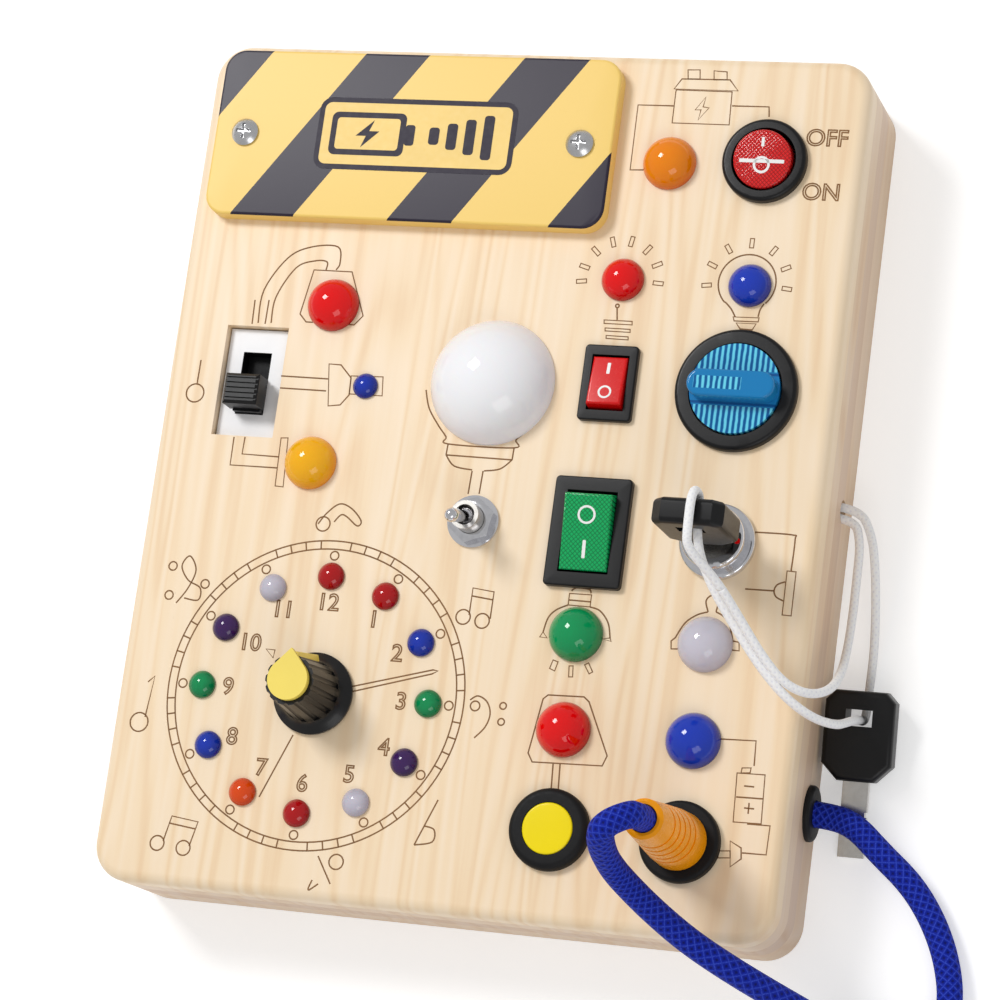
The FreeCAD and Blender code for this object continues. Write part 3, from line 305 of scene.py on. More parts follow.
mats = {
    "pine": pineMaterial("pineFace", pineSet),
    "pineUpper": pineMaterial("pineUpper", pineSet, 0.87, 0.05, 3.0),
    "pineMiddle": pineMaterial("pineMiddle", pineSet, 0.76, 0.10, 7.0),
    "pineBack": pineMaterial("pineBack", pineSet, 0.85, 0.06, 11.0),
    "ply": pineMaterial("coverPly", pineSet, 0.80, 0.0, 17.0),
    "black": plasticMaterial("blackPlastic", tones["black"], 0.34, 1100.0, 0.08, gloss=0.3),
    "blackSoft": plasticMaterial("blackRubber", colour(14, 14, 16), 0.55, 1400.0, 0.15, gloss=0.25),
    "knobBlack": plasticMaterial("knobBlack", colour(13, 13, 15), 0.3, 900.0, 0.05, 0.05, 0.1, 0.35),
    "white": plasticMaterial("whiteMetal", colour(240, 240, 242), 0.3, 800.0, 0.04),
    "yellowCap": plasticMaterial("yellowKnobCap", colour(252, 226, 96), 0.45, 900.0, 0.05),
    "yellowButton": plasticMaterial("yellowButton", colour(254, 230, 0), 0.24, 700.0, 0.04, 0.05,
                                    0.15, 0.3),
    "orangePlug": plasticMaterial("orangePlug", colour(255, 162, 0), 0.26, 700.0, 0.06, 0.12, 0.1, 0.2),
    "redRocker": plasticMaterial("redRocker", colour(226, 8, 10), 0.26, 600.0, 0.02, 0.12, 0.15, 0.3),
    "mark": plasticMaterial("whiteMark", colour(250, 250, 248), 0.4),
    "plateInk": plasticMaterial("plateInk", colour(46, 40, 56), 0.45, 600.0, 0.05, gloss=0.25),
    "plateYellow": plasticMaterial("plateYellow", colour(252, 214, 118), 0.42, 600.0, 0.05),
    "burnt": plasticMaterial("burntLine", colour(146, 104, 62), 0.7, 2600.0, 0.3, 0.25),
    "chrome": metalMaterial("chromePlate", colour(226, 226, 230), 0.09),
    "nickel": metalMaterial("nickelPlate", colour(208, 205, 200), 0.2),
    "brightSteel": metalMaterial("zincSteel", colour(214, 214, 216), 0.24),
    "boardGreen": plasticMaterial("boardGreen", colour(20, 96, 50), 0.35),
    "cellWrap": plasticMaterial("cellWrap", colour(60, 90, 170), 0.3),
    "milk": clearMaterial("milkGlobe", *tones["milk"], rise=13.0 * mm, rough=0.12),
}
lensRise = {
    "redLamp": 6.0, "darkRedLamp": 3.2, "orangeLamp": 6.0, "clockOrange": 3.2, "amberLamp": 6.0,
    "blueLamp": 6.0, "greenLamp": 6.0, "violetLamp": 3.2, "greyLamp": 6.0,
}
for key, rise in lensRise.items():
    mats[key] = clearMaterial(key, *tones[key], rise=rise * mm)

# hazard stripes run down to the left, over the top of the plate only
stripeSet = {
    "yellow": colour(252, 214, 118), "dark": colour(44, 38, 54), "worn": colour(235, 200, 120),
    "pitch": 46.5 * mm, "darkShare": 0.404, "first": -94.75 * mm, "lean": 0.696,
    "topY": 116.2 * mm, "paintFrom": faceZ + 4.3 * mm, "wear": 0.12,
}


def stripeMaterial(given):
    mat, tree, shader = newMaterial("hazardStripes", 0.36)
    place = axes(tree, objectCoords(tree))
    down = calc(tree, "SUBTRACT", place[1], given["topY"])
    along = calc(tree, "SUBTRACT", place[0], calc(tree, "MULTIPLY", down, given["lean"]))
    past = calc(tree, "SUBTRACT", along, given["first"])
    turn = calc(tree, "FRACT", calc(tree, "DIVIDE", past, given["pitch"]))
    dark = calc(tree, "LESS_THAN", turn, given["darkShare"])
    dark = calc(tree, "MULTIPLY", dark, calc(tree, "GREATER_THAN", place[2], given["paintFrom"]))
    speck = noise(tree, objectCoords(tree), 900.0)
    paint = mixColours(tree, dark, given["yellow"], given["dark"])
    worn = calc(tree, "MULTIPLY", calc(tree, "MULTIPLY", speck, given["wear"]),
                calc(tree, "SUBTRACT", 1.0, dark))
    colourFrom(tree, shader, mixColours(tree, worn, paint, given["worn"]))
    addBump(tree, shader, speck, 0.06, 0.0001)
    shader.inputs["Specular IOR Level"].default_value = 0.3
    return mat


# rocker lenses: cross-hatched under a clear face, with painted shade in the hatch grooves
hatchSlant, hatchUneven = 0.785, 0.12


def hatchMaterial(name, tone, deep, cell):
    mat, tree, shader = newMaterial(name, 0.1)
    grid = addNode(tree, "ShaderNodeTexVoronoi", feature="DISTANCE_TO_EDGE", voronoi_dimensions="2D")
    tree.links.new(objectCoords(tree, turn=(0, 0, hatchSlant)), grid.inputs["Vector"])
    grid.inputs["Scale"].default_value = 1 / cell
    grid.inputs["Randomness"].default_value = hatchUneven
    lines = grid.outputs["Distance"]
    # the grooves take the darker colour: painted shade
    colourFrom(tree, shader, ramp(tree, lines, [(0.02, deep), (0.16, tone), (0.5, tone)]))
    addBump(tree, shader, lines, 0.35, 0.0004)
    shader.inputs["Specular IOR Level"].default_value = 0.2
    shader.inputs["Coat Weight"].default_value = 0.4
    shader.inputs["Coat Roughness"].default_value = 0.03
    shader.inputs["Subsurface Weight"].default_value = 0.15
    shader.inputs["Subsurface Scale"].default_value = 0.003
    return mat


# blue rotary knob: smooth lens with ribs at its two sides and in a strip along the bar; the ribs are
# bands of painted shade and painted highlight, and a painted shade line runs along the bar's edges
def ribMaterial(given):
    mat, tree, shader = newMaterial("rotaryRibs", 0.1)
    place = axes(tree, objectCoords(tree, shift=(-given["x"], -given["y"], -faceZ)))
    onBar = calc(tree, "GREATER_THAN", place[2], given["barFrom"])
    offBar = calc(tree, "SUBTRACT", 1.0, onBar)
    aside = calc(tree, "ABSOLUTE", place[1])
    side = calc(tree, "MULTIPLY", calc(tree, "GREATER_THAN", aside, given["sideFrom"]), offBar)
    inStrip = calc(tree, "LESS_THAN", aside, given["stripHalf"])
    inLength = calc(tree, "MULTIPLY", calc(tree, "GREATER_THAN", place[0], given["stripFrom"]),
                    calc(tree, "LESS_THAN", place[0], given["stripTo"]))
    strip = calc(tree, "MULTIPLY", calc(tree, "MULTIPLY", inStrip, inLength), onBar)
    # ribs: painted shade in the troughs, the lens tone between, and a painted highlight on the crests
    wobble = noise(tree, objectCoords(tree), 420.0, 1.0)
    across = calc(tree, "MULTIPLY_ADD", wobble, given["wobble"], place[0])
    wave = calc(tree, "SINE", calc(tree, "MULTIPLY", across, wholeTurn / given["pitch"]))
    level = calc(tree, "MULTIPLY_ADD", wave, 0.5, 0.5)
    ribs = ramp(tree, level, [(0.1, given["deep"]), (0.45, given["tone"]), (0.8, given["ribHighlight"])])
    # a darker line along each edge of the bar: painted shade
    fromShadeLine = calc(tree, "ABSOLUTE", calc(tree, "SUBTRACT", aside, given["shadeLineAt"]))
    edge = calc(tree, "LESS_THAN", fromShadeLine, given["shadeLineHalf"])
    smooth = mixColours(tree, edge, given["tone"], given["deep"])
    colourFrom(tree, shader, mixColours(tree, calc(tree, "MAXIMUM", side, strip), smooth, ribs))
    shader.inputs["Specular IOR Level"].default_value = 0.2
    shader.inputs["Coat Weight"].default_value = 0.3
    shader.inputs["Coat Roughness"].default_value = 0.05
    return mat


ribSet = {
    "x": 68.3 * mm, "y": 26.0 * mm, "barFrom": 3.4 * mm, "pitch": 1.5 * mm, "wobble": 0.4 * mm,
    "sideFrom": 4.9 * mm, "stripHalf": 1.7 * mm, "stripFrom": -10.0 * mm, "stripTo": 3.0 * mm,
    "shadeLineAt": 4.2 * mm, "shadeLineHalf": 0.35 * mm,
    # painted shade, lens tone and painted highlight of the ribs
    "deep": colour(12, 88, 150), "tone": colour(26, 128, 190), "ribHighlight": colour(112, 220, 244),
}
mats["stripes"] = stripeMaterial(stripeSet)
mats["greenHatch"] = hatchMaterial("greenHatch", colour(14, 178, 98), colour(4, 104, 60), 0.9 * mm)
mats["redHatch"] = hatchMaterial("redHatch", colour(224, 34, 34), colour(134, 8, 14), 0.8 * mm)
mats["ribs"] = ribMaterial(ribSet)
print("materials made")

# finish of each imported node
nodeFinish = {
    "pine": ["face_panel"],
    "pineUpper": ["frame_upper"],
    "pineMiddle": ["frame_middle"],
    "pineBack": ["frame_back"],
    "ply": ["back_cover"],
    "brightSteel": ["screws"],
    "stripes": ["hazard_plate"],
    "black": [
        "battery_door", "battery_holder", "knob_pot", "little_bezel", "big_bezel", "round_bezel",
        "rotary_bezel", "slide_knob", "key_head", "spare_head",
    ],
    "blackSoft": ["jack_socket", "grommet", "push_ring"],
    "knobBlack": ["clock_knob"],
    "yellowCap": ["knob_cap"],
    "white": ["slide_plate"],
    "cellWrap": ["battery_cells"],
    "boardGreen": ["clock_board"],
    "nickel": ["knob_shaft", "toggle_body", "lock_core", "key_blade", "spare_blade", "plug_pin"],
    "chrome": ["toggle_washer", "toggle_lever", "lock_body", "panel_nuts"],
    "redRocker": ["little_rocker"],
    "greenHatch": ["big_rocker"],
    "redHatch": ["round_rocker"],
    "ribs": ["rotary_knob"],
    "yellowButton": ["push_cap"],
    "orangePlug": ["plug_body"],
    "orangeLamp": ["lamp_amber"],
    "redLamp": ["lamp_cherry", "lamp_bulb_red", "lamp_plug_red"],
    "amberLamp": ["lamp_sun"],
    "blueLamp": ["lamp_pin_blue", "lamp_bulb_blue", "lamp_plug_blue", "clock_lamps_blue"],
    "milk": ["lamp_globe"],
    "greenLamp": ["lamp_shade_green", "clock_lamps_green"],
    "greyLamp": ["lamp_shade_grey", "clock_lamps_clear"],
    "darkRedLamp": ["clock_lamps_red"],
    "clockOrange": ["clock_lamps_orange"],
    "violetLamp": ["clock_lamps_violet"],
}


def dressNode(node, mat, splitAngle=math.radians(30)):
    made = nodes[node]
    made.data.materials.clear()
    made.data.materials.append(mat)
    made.data.polygons.foreach_set("use_smooth", [True] * len(made.data.polygons))
    weld = made.modifiers.new("joinFacets", "WELD")
    weld.merge_threshold = 0.000002
    split = made.modifiers.new("keepEdges", "EDGE_SPLIT")
    split.split_angle = splitAngle


for finish, names in nodeFinish.items():
    for name in names:
        dressNode(name, mats[finish])
print("packed nodes dressed")


# piece helpers; lines on the face are flattened to this share of their width
lineFlat = 0.12


def addPiece(name, mesh, mat, body):
    made = bpy.data.objects.new(name, mesh)
    scene.collection.objects.link(made)
    mesh.materials.clear()
    mesh.materials.append(mat)
    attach(made, body)
    return made


def meshFromCurve(data):
    holder = bpy.data.objects.new("curveHolder", data)
    scene.collection.objects.link(holder)
    bpy.context.view_layer.update()
    mesh = bpy.data.meshes.new_from_object(holder.evaluated_get(bpy.context.evaluated_depsgraph_get()))
    bpy.data.objects.remove(holder)
    return mesh


def circlePoints(centre, radius, start=0.0, end=360.0, steps=40):
    span = math.radians(end - start)
    turns = [math.radians(start) + span * k / steps for k in range(steps + 1)]
    return [Vector((centre[0] + radius * math.cos(turn), centre[1] + radius * math.sin(turn), 0))
            for turn in turns]


def strokeMesh(strokes, width, z):
    # each stroke is a list of points; a closed one repeats its first point. Lines lie flat at height z
    data = bpy.data.curves.new("strokes", "CURVE")
    data.dimensions = "3D"
    data.bevel_depth = width / 2
    data.bevel_resolution = 1
    data.use_fill_caps = True
    for points in strokes:
        closed = (points[0] - points[-1]).length < 1e-6
        kept = points[:-1] if closed else points
        spline = data.splines.new("POLY")
        spline.points.add(len(kept) - 1)
        for target, point in zip(spline.points, kept):
            target.co = (point[0], point[1], 0, 1)
        spline.use_cyclic_u = closed
    mesh = meshFromCurve(data)
    for vert in mesh.vertices:
        vert.co.z = z + vert.co.z * lineFlat
    return mesh


def textStrokes(body, size, centre, z, width):
    data = bpy.data.curves.new("letters", "FONT")
    data.body = body
    data.size = size
    data.align_x = "CENTER"
    data.align_y = "CENTER"
    data.fill_mode = "NONE"
    data.bevel_depth = width / 2
    data.bevel_resolution = 1
    data.resolution_u = 4
    mesh = meshFromCurve(data)
    for vert in mesh.vertices:
        vert.co = Vector((centre[0] + vert.co.x, centre[1] + vert.co.y, z + vert.co.z * lineFlat))
    return mesh


def joinMeshes(meshes):
    bm = bmesh.new()
    for mesh in meshes:
        bm.from_mesh(mesh)
        bpy.data.meshes.remove(mesh)
    whole = bpy.data.meshes.new("joined")
    bm.to_mesh(whole)
    bm.free()
    return whole


def flatMesh(corners, radius, low, high, segments=5):
    # a flat slab from its corners, rounded at them
    bm = bmesh.new()
    face = bm.faces.new([bm.verts.new((x, y, low)) for x, y in corners])
    if radius:
        bmesh.ops.bevel(bm, geom=list(face.verts), offset=radius, segments=segments, affect="VERTICES",
                        profile=0.5, material=-1)
    grown = bmesh.ops.extrude_face_region(bm, geom=list(bm.faces))
    raised = [v for v in grown["geom"] if isinstance(v, bmesh.types.BMVert)]
    bmesh.ops.translate(bm, verts=raised, vec=(0, 0, high - low))
    bmesh.ops.recalc_face_normals(bm, faces=bm.faces)
    mesh = bpy.data.meshes.new("slab")
    bm.to_mesh(mesh)
    bm.free()
    return mesh


def ringMesh(centre, radius, width, low, high, steps=32):
    # a flat ring made by spinning its section
    bm = bmesh.new()
    inner, outer = radius - width / 2, radius + width / 2
    corners = ((inner, low), (outer, low), (outer, high), (inner, high))
    section = [bm.verts.new((centre[0] + r, centre[1], z)) for r, z in corners]
    edges = [bm.edges.new((section[k], section[(k + 1) % 4])) for k in range(4)]
    bmesh.ops.spin(bm, geom=section + edges, cent=(centre[0], centre[1], 0), axis=(0, 0, 1),
                   angle=wholeTurn, steps=steps, use_merge=True)
    bmesh.ops.remove_doubles(bm, verts=bm.verts, dist=1e-7)
    bmesh.ops.recalc_face_normals(bm, faces=bm.faces)
    mesh = bpy.data.meshes.new("ring")
    bm.to_mesh(mesh)
    bm.free()
    return mesh


# cords: routes as in the part's source, in millimetres
plugTop = 74.0
jackX, jackY = 68.3, -95.0
halfW = 95.0
ropeSet = {
    "diameter": 7.0 * mm, "strands": 96.0, "around": 8.0, "bump": 0.7,
    # braid colours: painted shade in the hollows, the rope's tone, and a painted highlight on the crests
    "deep": colour(3, 10, 84), "tone": colour(10, 34, 160), "crestHighlight": colour(56, 82, 206),
}
ropeRoute = [
    (jackX, jackY, plugTop - 4.0),
    (jackX, jackY, plugTop + 2.6),
    (jackX - 0.8, jackY - 0.5, plugTop + 10.2),
    (jackX - 7.4, jackY - 4.6, plugTop + 11.6),
    (jackX - 8.8, jackY - 8.6, plugTop + 3.0),
    (jackX - 8.2, jackY - 12.0, plugTop - 5.8),
    (jackX - 4.8, jackY - 15.8, plugTop - 12.2),
    (jackX + 1.0, jackY - 20.8, plugTop - 18.0),
    (jackX + 9.2, jackY - 26.6, plugTop - 23.5),
    (jackX + 18.7, jackY - 31.6, plugTop - 28.0),
    (jackX + 27.7, jackY - 35.8, plugTop - 36.0),
    (jackX + 36.2, jackY - 39.5, plugTop - 47.0),
    (jackX + 44.1, jackY - 43.1, plugTop - 57.5),
    (jackX + 52.6, jackY - 46.5, plugTop - 65.4),
    (jackX + 61.0, jackY - 46.7, plugTop - 69.4),
    (jackX + 67.1, jackY - 40.9, plugTop - 70.0),
    (jackX + 68.6, jackY - 30.6, plugTop - 70.0),
    (jackX + 66.4, jackY - 20.2, plugTop - 70.0),
    (jackX + 61.9, jackY - 10.3, plugTop - 69.6),
    (jackX + 55.4, jackY - 1.4, plugTop - 68.0),
    (jackX + 46.5, jackY + 5.8, plugTop - 65.8),
    (jackX + 39.2, jackY + 12.4, plugTop - 64.2),
    (halfW + 4.5, -80.7, 9.2),
    (halfW - 2.2, -80.7, 9.2),
]
eyeLevel, overEnd, aboveKey, cordX, spareX = 63.3, 72.6, -9.5, 69.9, 105.6
keyCordSet = {
    "diameter": 2.4 * mm, "strands": 170.0, "around": 4.0, "bump": 0.5,
    # braid colours: painted shade in the hollows and the cord's tone
    "deep": colour(238, 238, 246), "tone": colour(255, 255, 255),
}
keyCordRoute = [
    (halfW - 6.0, -0.7, 11.0),
    (halfW + 3.4, -0.7, 11.0),
    (halfW + 5.8, -7.5, 11.2),
    (halfW + 5.6, -16.5, 9.8),
    (halfW + 5.6, -26.0, 9.4),
    (halfW + 6.0, -36.0, 12.5),
    (halfW + 7.0, -45.0, 21.0),
    (halfW + 6.8, -51.5, 31.0),
    (halfW + 3.4, -54.6, 39.5),
    (halfW - 2.4, -53.0, 44.2),
    (halfW - 8.2, -46.6, 48.8),
    (halfW - 13.4, -38.8, 54.4),
    (halfW - 18.6, -31.0, 61.8),
    (cordX, -25.0, 70.6),
    (cordX, -20.6, overEnd),
    (cordX, aboveKey, overEnd),
    (cordX, aboveKey, eyeLevel),
    (cordX, -21.6, eyeLevel),
    (halfW - 21.2, -31.5, 57.6),
    (halfW - 14.8, -41.2, 51.0),
    (halfW - 8.2, -50.0, 46.2),
    (halfW - 1.6, -56.6, 42.2),
    (halfW + 4.4, -60.0, 36.4),
    (halfW + 8.6, -59.8, 27.4),
    (halfW + 9.8, -57.4, 19.6),
    (spareX, -55.0, 11.8),
    (spareX, -54.1, 1.7),
    (spareX, -45.4, 1.5),
    (spareX + 0.6, -36.0, 3.4),
    (spareX + 0.4, -25.5, 6.0),
    (halfW + 10.2, -14.5, 8.6),
    (halfW + 8.6, -5.0, 10.4),
    (halfW + 4.2, 2.3, 11.0),
    (halfW - 6.0, 2.3, 11.0),
]


def cordCurve(route, diameter, bevel):
    data = bpy.data.curves.new("cordLine", "CURVE")
    data.dimensions = "3D"
    data.resolution_u = 16
    data.bevel_depth = diameter / 2 if bevel else 0.0
    data.bevel_resolution = 4
    data.use_fill_caps = bevel
    spline = data.splines.new("NURBS")
    spline.points.add(len(route) - 1)
    for target, point in zip(spline.points, route):
        target.co = (point[0] * mm, point[1] * mm, point[2] * mm, 1)
    spline.order_u = 3
    spline.use_endpoint_u = True
    return data


braidDepth, fuzzShare, weaveShare = 0.08, 0.3, 0.75


def braidMaterial(name, given):
    # two crossing runs of strands, on the tube's own map: u runs along it and v round it; the colour
    # follows the weave, with painted shade in the hollows between strands and a painted highlight on the
    # crests
    mat, tree, shader = newMaterial(name, 0.62)
    uv = addNode(tree, "ShaderNodeUVMap")
    uv.uv_map = "UVMap"
    place = axes(tree, uv.outputs["UV"])
    lengthways = calc(tree, "MULTIPLY", place[0], given["strands"])
    roundways = calc(tree, "MULTIPLY", place[1], given["around"])
    first = calc(tree, "ADD", lengthways, roundways)
    second = calc(tree, "SUBTRACT", lengthways, roundways)
    one = calc(tree, "SINE", calc(tree, "MULTIPLY", first, wholeTurn))
    two = calc(tree, "SINE", calc(tree, "MULTIPLY", second, wholeTurn))
    weave = calc(tree, "MULTIPLY_ADD", calc(tree, "MAXIMUM", one, two), 0.5, 0.5)
    fuzz = noise(tree, objectCoords(tree), 2600.0, 3.0)
    level = calc(tree, "MULTIPLY_ADD", fuzz, fuzzShare, calc(tree, "MULTIPLY", weave, weaveShare))
    # painted shade in the hollows, the strands' tone, and a painted highlight where crest and fuzz peak
    stops = [(0.1, given["deep"]), (0.55, given["tone"])]
    if "crestHighlight" in given:
        stops += [(0.8, given["tone"]), (0.98, given["crestHighlight"])]
    colourFrom(tree, shader, ramp(tree, level, stops))
    addBump(tree, shader, level, given["bump"], given["diameter"] * braidDepth)
    shader.inputs["Specular IOR Level"].default_value = 0.15
    return mat


def makeCord(name, route, given):
    # the tube and its centreline
    line = [v.co.copy() for v in meshFromCurve(cordCurve(route, given["diameter"], False)).vertices]
    tube = meshFromCurve(cordCurve(route, given["diameter"], True))
    tube.name = name
    for poly in tube.polygons:
        poly.use_smooth = True
    return tube, line


ropeMesh, ropeLine = makeCord("rope_braid", ropeRoute, ropeSet)
mats["rope"] = braidMaterial("ropeBraid", ropeSet)
ropePiece = bpy.data.objects.new("rope_braid", ropeMesh)
scene.collection.objects.link(ropePiece)
ropeMesh.materials.append(mats["rope"])
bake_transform(ropePiece)
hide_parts("rope")

# the white cord is cut in three lengths,
# from the hole to the key, over the key, and back by the spare key
keyCordMesh, keyLine = makeCord("key_cord_white", keyCordRoute, keyCordSet)
mats["keyCord"] = braidMaterial("keyCordBraid", keyCordSet)
keyJoin = 60.0 * mm
high = [k for k, point in enumerate(keyLine) if point.z > keyJoin]
joins = [high[0], high[-1]]
lengths = {
    "key_cord_up": (0, joins[0]),
    "key_cord_loop": (joins[0], joins[1]),
    "key_cord_down": (joins[1], len(keyLine) - 1),
}


def cutCord(mesh, line, start, end):
    # keep the rings of the tube from start to end; the first two rings stored are the end caps
    bm = bmesh.new()
    bm.from_mesh(mesh)
    around = len(mesh.vertices) // (len(line) + 2)

    def ringOf(index):
        if index < around:
            return len(line) - 1
        return 0 if index < 2 * around else index // around - 2

    lost = [v for v in bm.verts if not start <= ringOf(v.index) <= end]
    bmesh.ops.delete(bm, geom=lost, context="VERTS")
    openEdges = [edge for edge in bm.edges if edge.is_boundary]
    bmesh.ops.holes_fill(bm, edges=openEdges, sides=around)
    made = bpy.data.meshes.new("cordLength")
    bm.to_mesh(made)
    bm.free()
    return made


for name, (start, end) in lengths.items():
    stretch = keyLine[start:end + 1]
    piece = bpy.data.objects.new(name, cutCord(keyCordMesh, keyLine, start, end))
    scene.collection.objects.link(piece)
    piece.data.materials.clear()
    piece.data.materials.append(mats["keyCord"])
    if name == "key_cord_loop":
        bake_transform(piece)
    else:
        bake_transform(piece)
    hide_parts("key_cord")
    if name == "key_cord_down":
        stretch = stretch[::-1]
print("cords laid")

# burnt lines on the face, each placed by its pixels in the photo
lineWidth = 0.42 * mm
lineZ = faceZ + 0.01 * mm


def onFace(pixels):
    return [facePoint(pixel) for pixel in pixels]


def curve(pixels, steps=6):
    # a smooth line through the points
    points = onFace(pixels)
    made = []
    for k in range(len(points) - 1):
        a, b = points[k], points[k + 1]
        before, after = points[max(k - 1, 0)], points[min(k + 2, len(points) - 1)]
        for step in range(steps):
            t = step / steps
            made.append(0.5 * ((2 * a) + (b - before) * t + (2 * before - 5 * a + 4 * b - after) * t * t
                               + (3 * a - before - 3 * b + after) * t ** 3))
    return made + [points[-1]]


def loop(pixels):
    points = onFace(pixels)
    return points + [points[0]]


def ringAt(pixel, radius, start=0.0, end=360.0, steps=40):
    return circlePoints(facePoint(pixel), radius, start, end, steps)


def rayBoxes(pixel, inner, outer, width, angles):
    # short rays, each an outlined box
    centre = facePoint(pixel)
    made = []
    for angle in angles:
        way = Vector((math.cos(math.radians(angle)), math.sin(math.radians(angle)), 0))
        side = Vector((-way.y, way.x, 0)) * width / 2
        corners = [centre + way * inner + side, centre + way * outer + side, centre + way * outer - side,
                   centre + way * inner - side]
        made.append(corners + [corners[0]])
    return made


drawings = {}
drawings["battery_lines"] = [
    loop([(688, 70), (700, 70), (700, 79), (688, 79)]),
    loop([(714, 71), (727, 72), (727, 80), (714, 80)]),
    loop([(682, 79), (730, 80), (738, 91), (674, 89)]),
    loop([(676, 90), (732, 92), (729, 125), (672, 123)]),
    loop([(706, 97), (695, 110), (701, 110), (698, 120), (709, 108), (703, 107)]),
    onFace([(674, 106), (638, 105), (630, 170), (645, 170)]),
    onFace([(732, 106), (769, 107), (769, 117)]),
]
bulbRays = [-4, 24, 52, 80, 108, 136, 164, 186]
drawings["red_bulb_lines"] = rayBoxes((620, 279), 9.4 * mm, 12.2 * mm, 1.1 * mm, bulbRays) + [
    ringAt((617.3, 306), 0.5 * mm, steps=12), onFace([(617, 308), (617, 320)]),
    loop([(604, 320), (632, 321.5), (632, 325), (604, 323.5)]),
    loop([(605, 328), (630, 329.5), (630, 332.5), (605, 331)]),
    loop([(606, 335.5), (628, 337), (628, 340), (606, 338.5)]),
]
drawings["blue_bulb_lines"] = [ringAt((747, 283), 7.9 * mm, -44, 226)] + rayBoxes(
    (747, 283), 9.8 * mm, 12.4 * mm, 1.1 * mm, [-6, 24, 56, 90, 124, 156, 186]) + [
    curve([(725, 302), (731, 309), (735, 317)]), curve([(764, 304), (760, 310), (758, 317)]),
    loop([(733, 317), (759, 318), (758, 322), (734, 321)]),
    loop([(736, 323), (756, 324), (752, 330), (740, 329)]),
]
drawings["cherry_plug_lines"] = [
    curve([(258, 323), (264, 290), (288, 258), (312, 247), (338, 247), (340, 263), (336, 270)]),
    curve([(271, 323), (276, 297), (296, 268), (315, 261), (327, 262), (326, 270)]),
    loop([(314, 270), (352, 272), (363, 316), (354, 325), (306, 322), (300, 314)]),
]
drawings["pin_plug_lines"] = [
    onFace([(281, 376), (328, 379)]), onFace([(280, 388), (326, 391)]),
    loop([(328, 406), (329, 364), (341, 365), (351, 378), (349, 395), (340, 405)]),
    loop([(351, 376), (383, 377), (382, 396), (349, 394)]),
    ringAt((195, 393), 2.6 * mm), onFace([(197, 384), (201, 360)]),
]
drawings["sun_plug_lines"] = [
    onFace([(234, 437), (230, 465), (277, 468)]), onFace([(245, 437), (242, 454), (279, 457)]),
    loop([(281, 438), (288, 438), (283, 487), (275, 486)]), onFace([(255, 300), (252, 324)]),
    onFace([(269, 300), (265, 324)]),
]
drawings["globe_bulb_lines"] = [
    curve([(426, 390), (429, 408), (438, 425), (446, 437), (448, 444), (514, 448), (516, 440),
           (528, 430), (543, 412), (552, 394)]),
    onFace([(446, 455), (512, 460)]), onFace([(448, 444), (446, 455)]),
    onFace([(514, 448), (512, 460)]),
    curve([(446, 455), (454, 466), (472, 470)]), curve([(512, 460), (500, 469), (484, 471)]),
    onFace([(472, 471), (468, 494)]), onFace([(483, 471), (479, 494)]),
]
drawings["lock_wire_lines"] = [
    curve([(751, 532), (792, 535), (795, 540), (791, 571)]),
    loop([(787, 571), (796, 572), (791, 616), (782, 615)]),
    onFace([(745, 589), (774, 591)]),
    curve([(785, 582), (777, 585), (774, 591), (776, 597), (783, 601)]),
]
drawings["grey_shade_lines"] = [
    curve([(708, 612), (706, 601), (712, 595.5), (718, 601), (716, 612)]),
    curve([(708, 612), (697, 615), (685, 623), (675, 638)]),
    curve([(716, 612), (724, 617), (730, 627), (732.5, 641)]),
    onFace([(675, 638), (671, 641), (671, 649), (678, 649)]),
    onFace([(732.5, 641), (739, 642.5), (739, 651), (731, 650)]),
]
drawings["green_shade_lines"] = [
    curve([(571.5, 591), (576.5, 588), (589, 589.5), (591, 593.5)]),
    loop([(569.5, 593.5), (591.5, 595), (590, 607), (568, 605)]),
    onFace([(568.5, 600), (591, 602)]),
    curve([(568, 605), (556, 610), (548, 618), (543, 632)]),
    curve([(590, 607), (600, 611), (608, 623), (610, 638)]),
    loop([(543, 632), (539.5, 637), (547, 638)]), loop([(610, 638), (611, 641.5), (602, 639)]),
    loop([(553, 660), (558, 662), (554.5, 671), (549.5, 668.5)]),
    loop([(569, 666), (573, 666), (572.5, 677), (568.5, 677)]),
    loop([(584.5, 665), (588.5, 663), (592.5, 672), (589, 674)]),
]
drawings["red_plug_lines"] = [
    loop([(543, 699), (548, 695), (584, 697), (589, 702), (607, 756), (602, 766), (532, 762),
          (528, 753)]),
    onFace([(553, 764), (551, 790)]), onFace([(560, 764), (558, 791)]),
]
drawings["blue_plug_lines"] = [
    onFace([(719, 739), (756, 741), (754, 766)]),
    loop([(737, 773), (765, 775), (761, 824), (733, 822)]),
    loop([(742, 768), (751, 768), (750, 773), (741, 773)]), onFace([(736, 797), (763, 799)]),
    onFace([(744, 808), (754, 809)]), onFace([(749, 803), (748, 814)]),
    onFace([(744, 786), (754, 787)]),
    onFace([(747, 824), (770, 826), (766, 855), (742, 853)]),
    loop([(718, 851), (730, 851), (730, 858), (718, 858)]),
    loop([(730, 841), (741, 848), (741, 859), (730, 867)]),
]

# the clock: two rings, minute ticks, hour dots, numerals and two hands
clockSet = {
    "centre": (-37.8, -64.5), "outer": 42.4, "inner": 40.1, "dots": 38.3, "dot": 1.2,
    "numeralSize": 6.6, "outline": 0.42 * mm,
}


